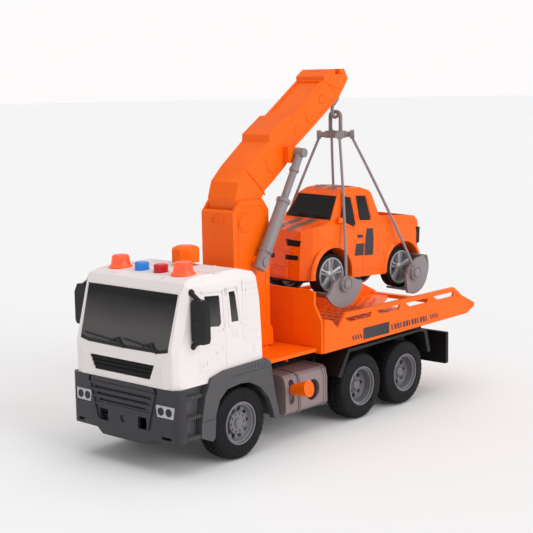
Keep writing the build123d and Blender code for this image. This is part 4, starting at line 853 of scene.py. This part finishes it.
def pickup_prints():
    stripes = Shape(LOAD)
    for x0, x1 in ((-9.6, -2.6), (2.6, 9.6)):
        for profile in (BONNET, ROOF):
            for (ya, za), (yb, zb) in zip(profile, profile[1:]):
                stripes.prism([(x0, ya, za), (x1, ya, za), (x1, yb, zb), (x0, yb, zb)], (0, -0.02, 0.12))
    stripes.done("pickup_stripes", M["print_grey"], "pickup", bevel=0)
    block = Shape(LOAD)
    for side in (-1, 1):
        for y0, y1, z0, z1, lean in ((22.0, 32.4, 12.0, 20.4, 1.2), (33.0, 41.8, 11.6, 24.0, 0.0),
                                     (33.0, 41.8, 24.0, 30.6, 1.9)):
            xa, xb = flank(z0) + 0.03, flank(z1) + 0.03
            block.prism([(side * xa, y0, z0), (side * xa, y1, z0), (side * xb, y1, z1),
                         (side * xb, y0 + lean, z1)],
                        (side * 0.1, 0, 0))
        block.prism([(side * 24.7, 25.0, 24.8), (side * 24.7, 29.6, 24.5), (side * 24.7, 29.6, 26.5),
                     (side * 24.7, 25.0, 26.8)], (side * 0.9, 0, 0))
    block.done("pickup_door_print", M["ink"], "pickup", bevel=0)
    wiper = Shape(LOAD)
    lean = math.atan2(14.8, 10.2)
    normal = (0, -math.sin(lean), math.cos(lean))

    def pane(x, up):
        return (x, -2.6 + 10.2 * up / 14.8, 38.6 + up)

    wiper.stroke([pane(-14.0, 1.0), pane(-1.0, 2.6)], 0.7, normal, 0.7)
    wiper.stroke([pane(2.0, 1.0), pane(15.0, 2.6)], 0.7, normal, 0.7)
    wiper.stroke([pane(-7.0, 0.2), pane(-5.0, 2.0)], 0.6, normal, 0.9)
    wiper.stroke([pane(9.0, 0.2), pane(11.0, 2.0)], 0.6, normal, 0.9)
    wiper.done("pickup_wipers", M["black"], "pickup", bevel=0.05)


def cradle_hubs():
    """The lip round each cradle's hub and the pin head in its middle."""
    s = Shape(LOAD)
    for side in (-1, 1):
        for y, z in ((-1.4, -4.15), (74.1, -2.45)):
            s.spin([(2.8, 5.15), (3.5, 5.45), (3.9, 5.2), (3.9, 4.6), (3.3, 4.3)], (side * 36.0, y, z),
                   (side, 0, 0), 48)
            s.spin([(4.0, 3.1), (4.7, 3.0), (4.95, 2.5), (5.0, 0.0)], (side * 36.0, y, z), (side, 0, 0), 40)
    s.done("cradle_hub_caps", M["steel"], "slings", bevel=0)


def pickup_wheels(name, axle_y, body, node):
    """Five tapered spokes with a groove down each, a dished lip and a hub cap."""
    s = Shape(LOAD)
    for side in (-1, 1):
        face = side * 24.0
        out = (side, 0, 0)
        s.spin([(-8.0, 11.5), (-8.0, 12.3), (-0.4, 12.3), (-0.1, 12.0), (-0.3, 11.3), (-1.2, 10.9),
                (-5.8, 10.5), (-6.0, 0.0)], (face, axle_y, 0), out, 64)
        s.spin([(-4.0, 3.6), (-1.4, 3.2), (-0.9, 2.5), (-0.4, 1.9), (-0.3, 0.0)], (face, axle_y, 0), out,
               32)
        for i in range(5):
            turn = math.radians(72.0 * i + 18.0)
            c, k = math.cos(turn), math.sin(turn)

            def spoke(r, w, depth):
                return (face - side * depth, axle_y + r * c - w * k, r * k + w * c)

            for sign in (-1, 1):
                s.prism([spoke(2.0, 0.0, 1.3), spoke(2.0, sign * 2.0, 1.5), spoke(6.0, sign * 1.7, 1.7),
                         spoke(11.2, sign * 2.9, 1.2), spoke(11.5, sign * 0.7, 0.9),
                         spoke(6.4, sign * 0.35, 1.1)],
                        (-side * 1.6, 0, 0))
    s.bar((-21.0, axle_y, 0), (21.0, axle_y, 0), 1.0)
    s.done(name, M["chrome"], body, bevel=0.18)
    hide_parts(node)


pickup_mouldings()
pickup_prints()
cradle_hubs()
pickup_wheels("pickup_wheels_front", 0.0, "pickup_front_wheels", "pickup_rims_axle_front")
pickup_wheels("pickup_wheels_rear", 75.3, "pickup_rear_wheels", "pickup_rims_axle_rear")


# ---- floor and light ----
def studio():
    n = Nodes("studio_floor")
    n.set(Base_Color=n.blend(n.noise(1.5, 2.0), (0.86, 0.86, 0.865, 1.0), (0.89, 0.89, 0.895, 1.0)),
          Roughness=0.8, Specular_IOR_Level=0.05)
    bm = bmesh.new()
    bmesh.ops.create_circle(bm, cap_ends=True, segments=96, radius=14.0)
    mesh = bpy.data.meshes.new("floor")
    bm.to_mesh(mesh)
    bm.free()
    mesh.materials.append(n.mat)
    floor = bpy.data.objects.new("floor", mesh)
    floor.location = (0, 0, -0.0002)
    bpy.context.scene.collection.objects.link(floor)
    world = bpy.data.worlds.new("studio_world")
    world.use_nodes = True
    tree = world.node_tree
    sky = tree.nodes["Background"]
    sky.inputs["Color"].default_value = (1.0, 0.985, 0.98, 1.0)
    height = tree.nodes.new("ShaderNodeSeparateXYZ")
    tree.links.new(tree.nodes.new("ShaderNodeTexCoord").outputs["Generated"], height.inputs[0])
    reflection_fade = tree.nodes.new("ShaderNodeMapRange")
    tree.links.new(height.outputs["Z"], reflection_fade.inputs["Value"])
    for key, number in (("From Min", 0.08), ("From Max", 0.4), ("To Min", 0.98), ("To Max", 0.52)):
        reflection_fade.inputs[key].default_value = number
    tree.links.new(reflection_fade.outputs["Result"], sky.inputs["Strength"])
    bpy.context.scene.world = world
    for name, toward, spread, power in (("key", (1.35, 0.1, 0.66), 38.0, 1.2),
                                        ("top", (0.1, 0.1, 1.5), 70.0, 1.05),
                                        ("front", (0.1, -1.6, 0.5), 60.0, 0.1)):
        data = bpy.data.lights.new(name, "SUN")
        data.angle = math.radians(spread)
        data.energy = power
        light = bpy.data.objects.new(name, data)
        light.rotation_euler = (-Vector(toward)).to_track_quat("-Z", "Y").to_euler()
        bpy.context.scene.collection.objects.link(light)


studio()
bpy.context.scene.view_settings.view_transform = "Standard"
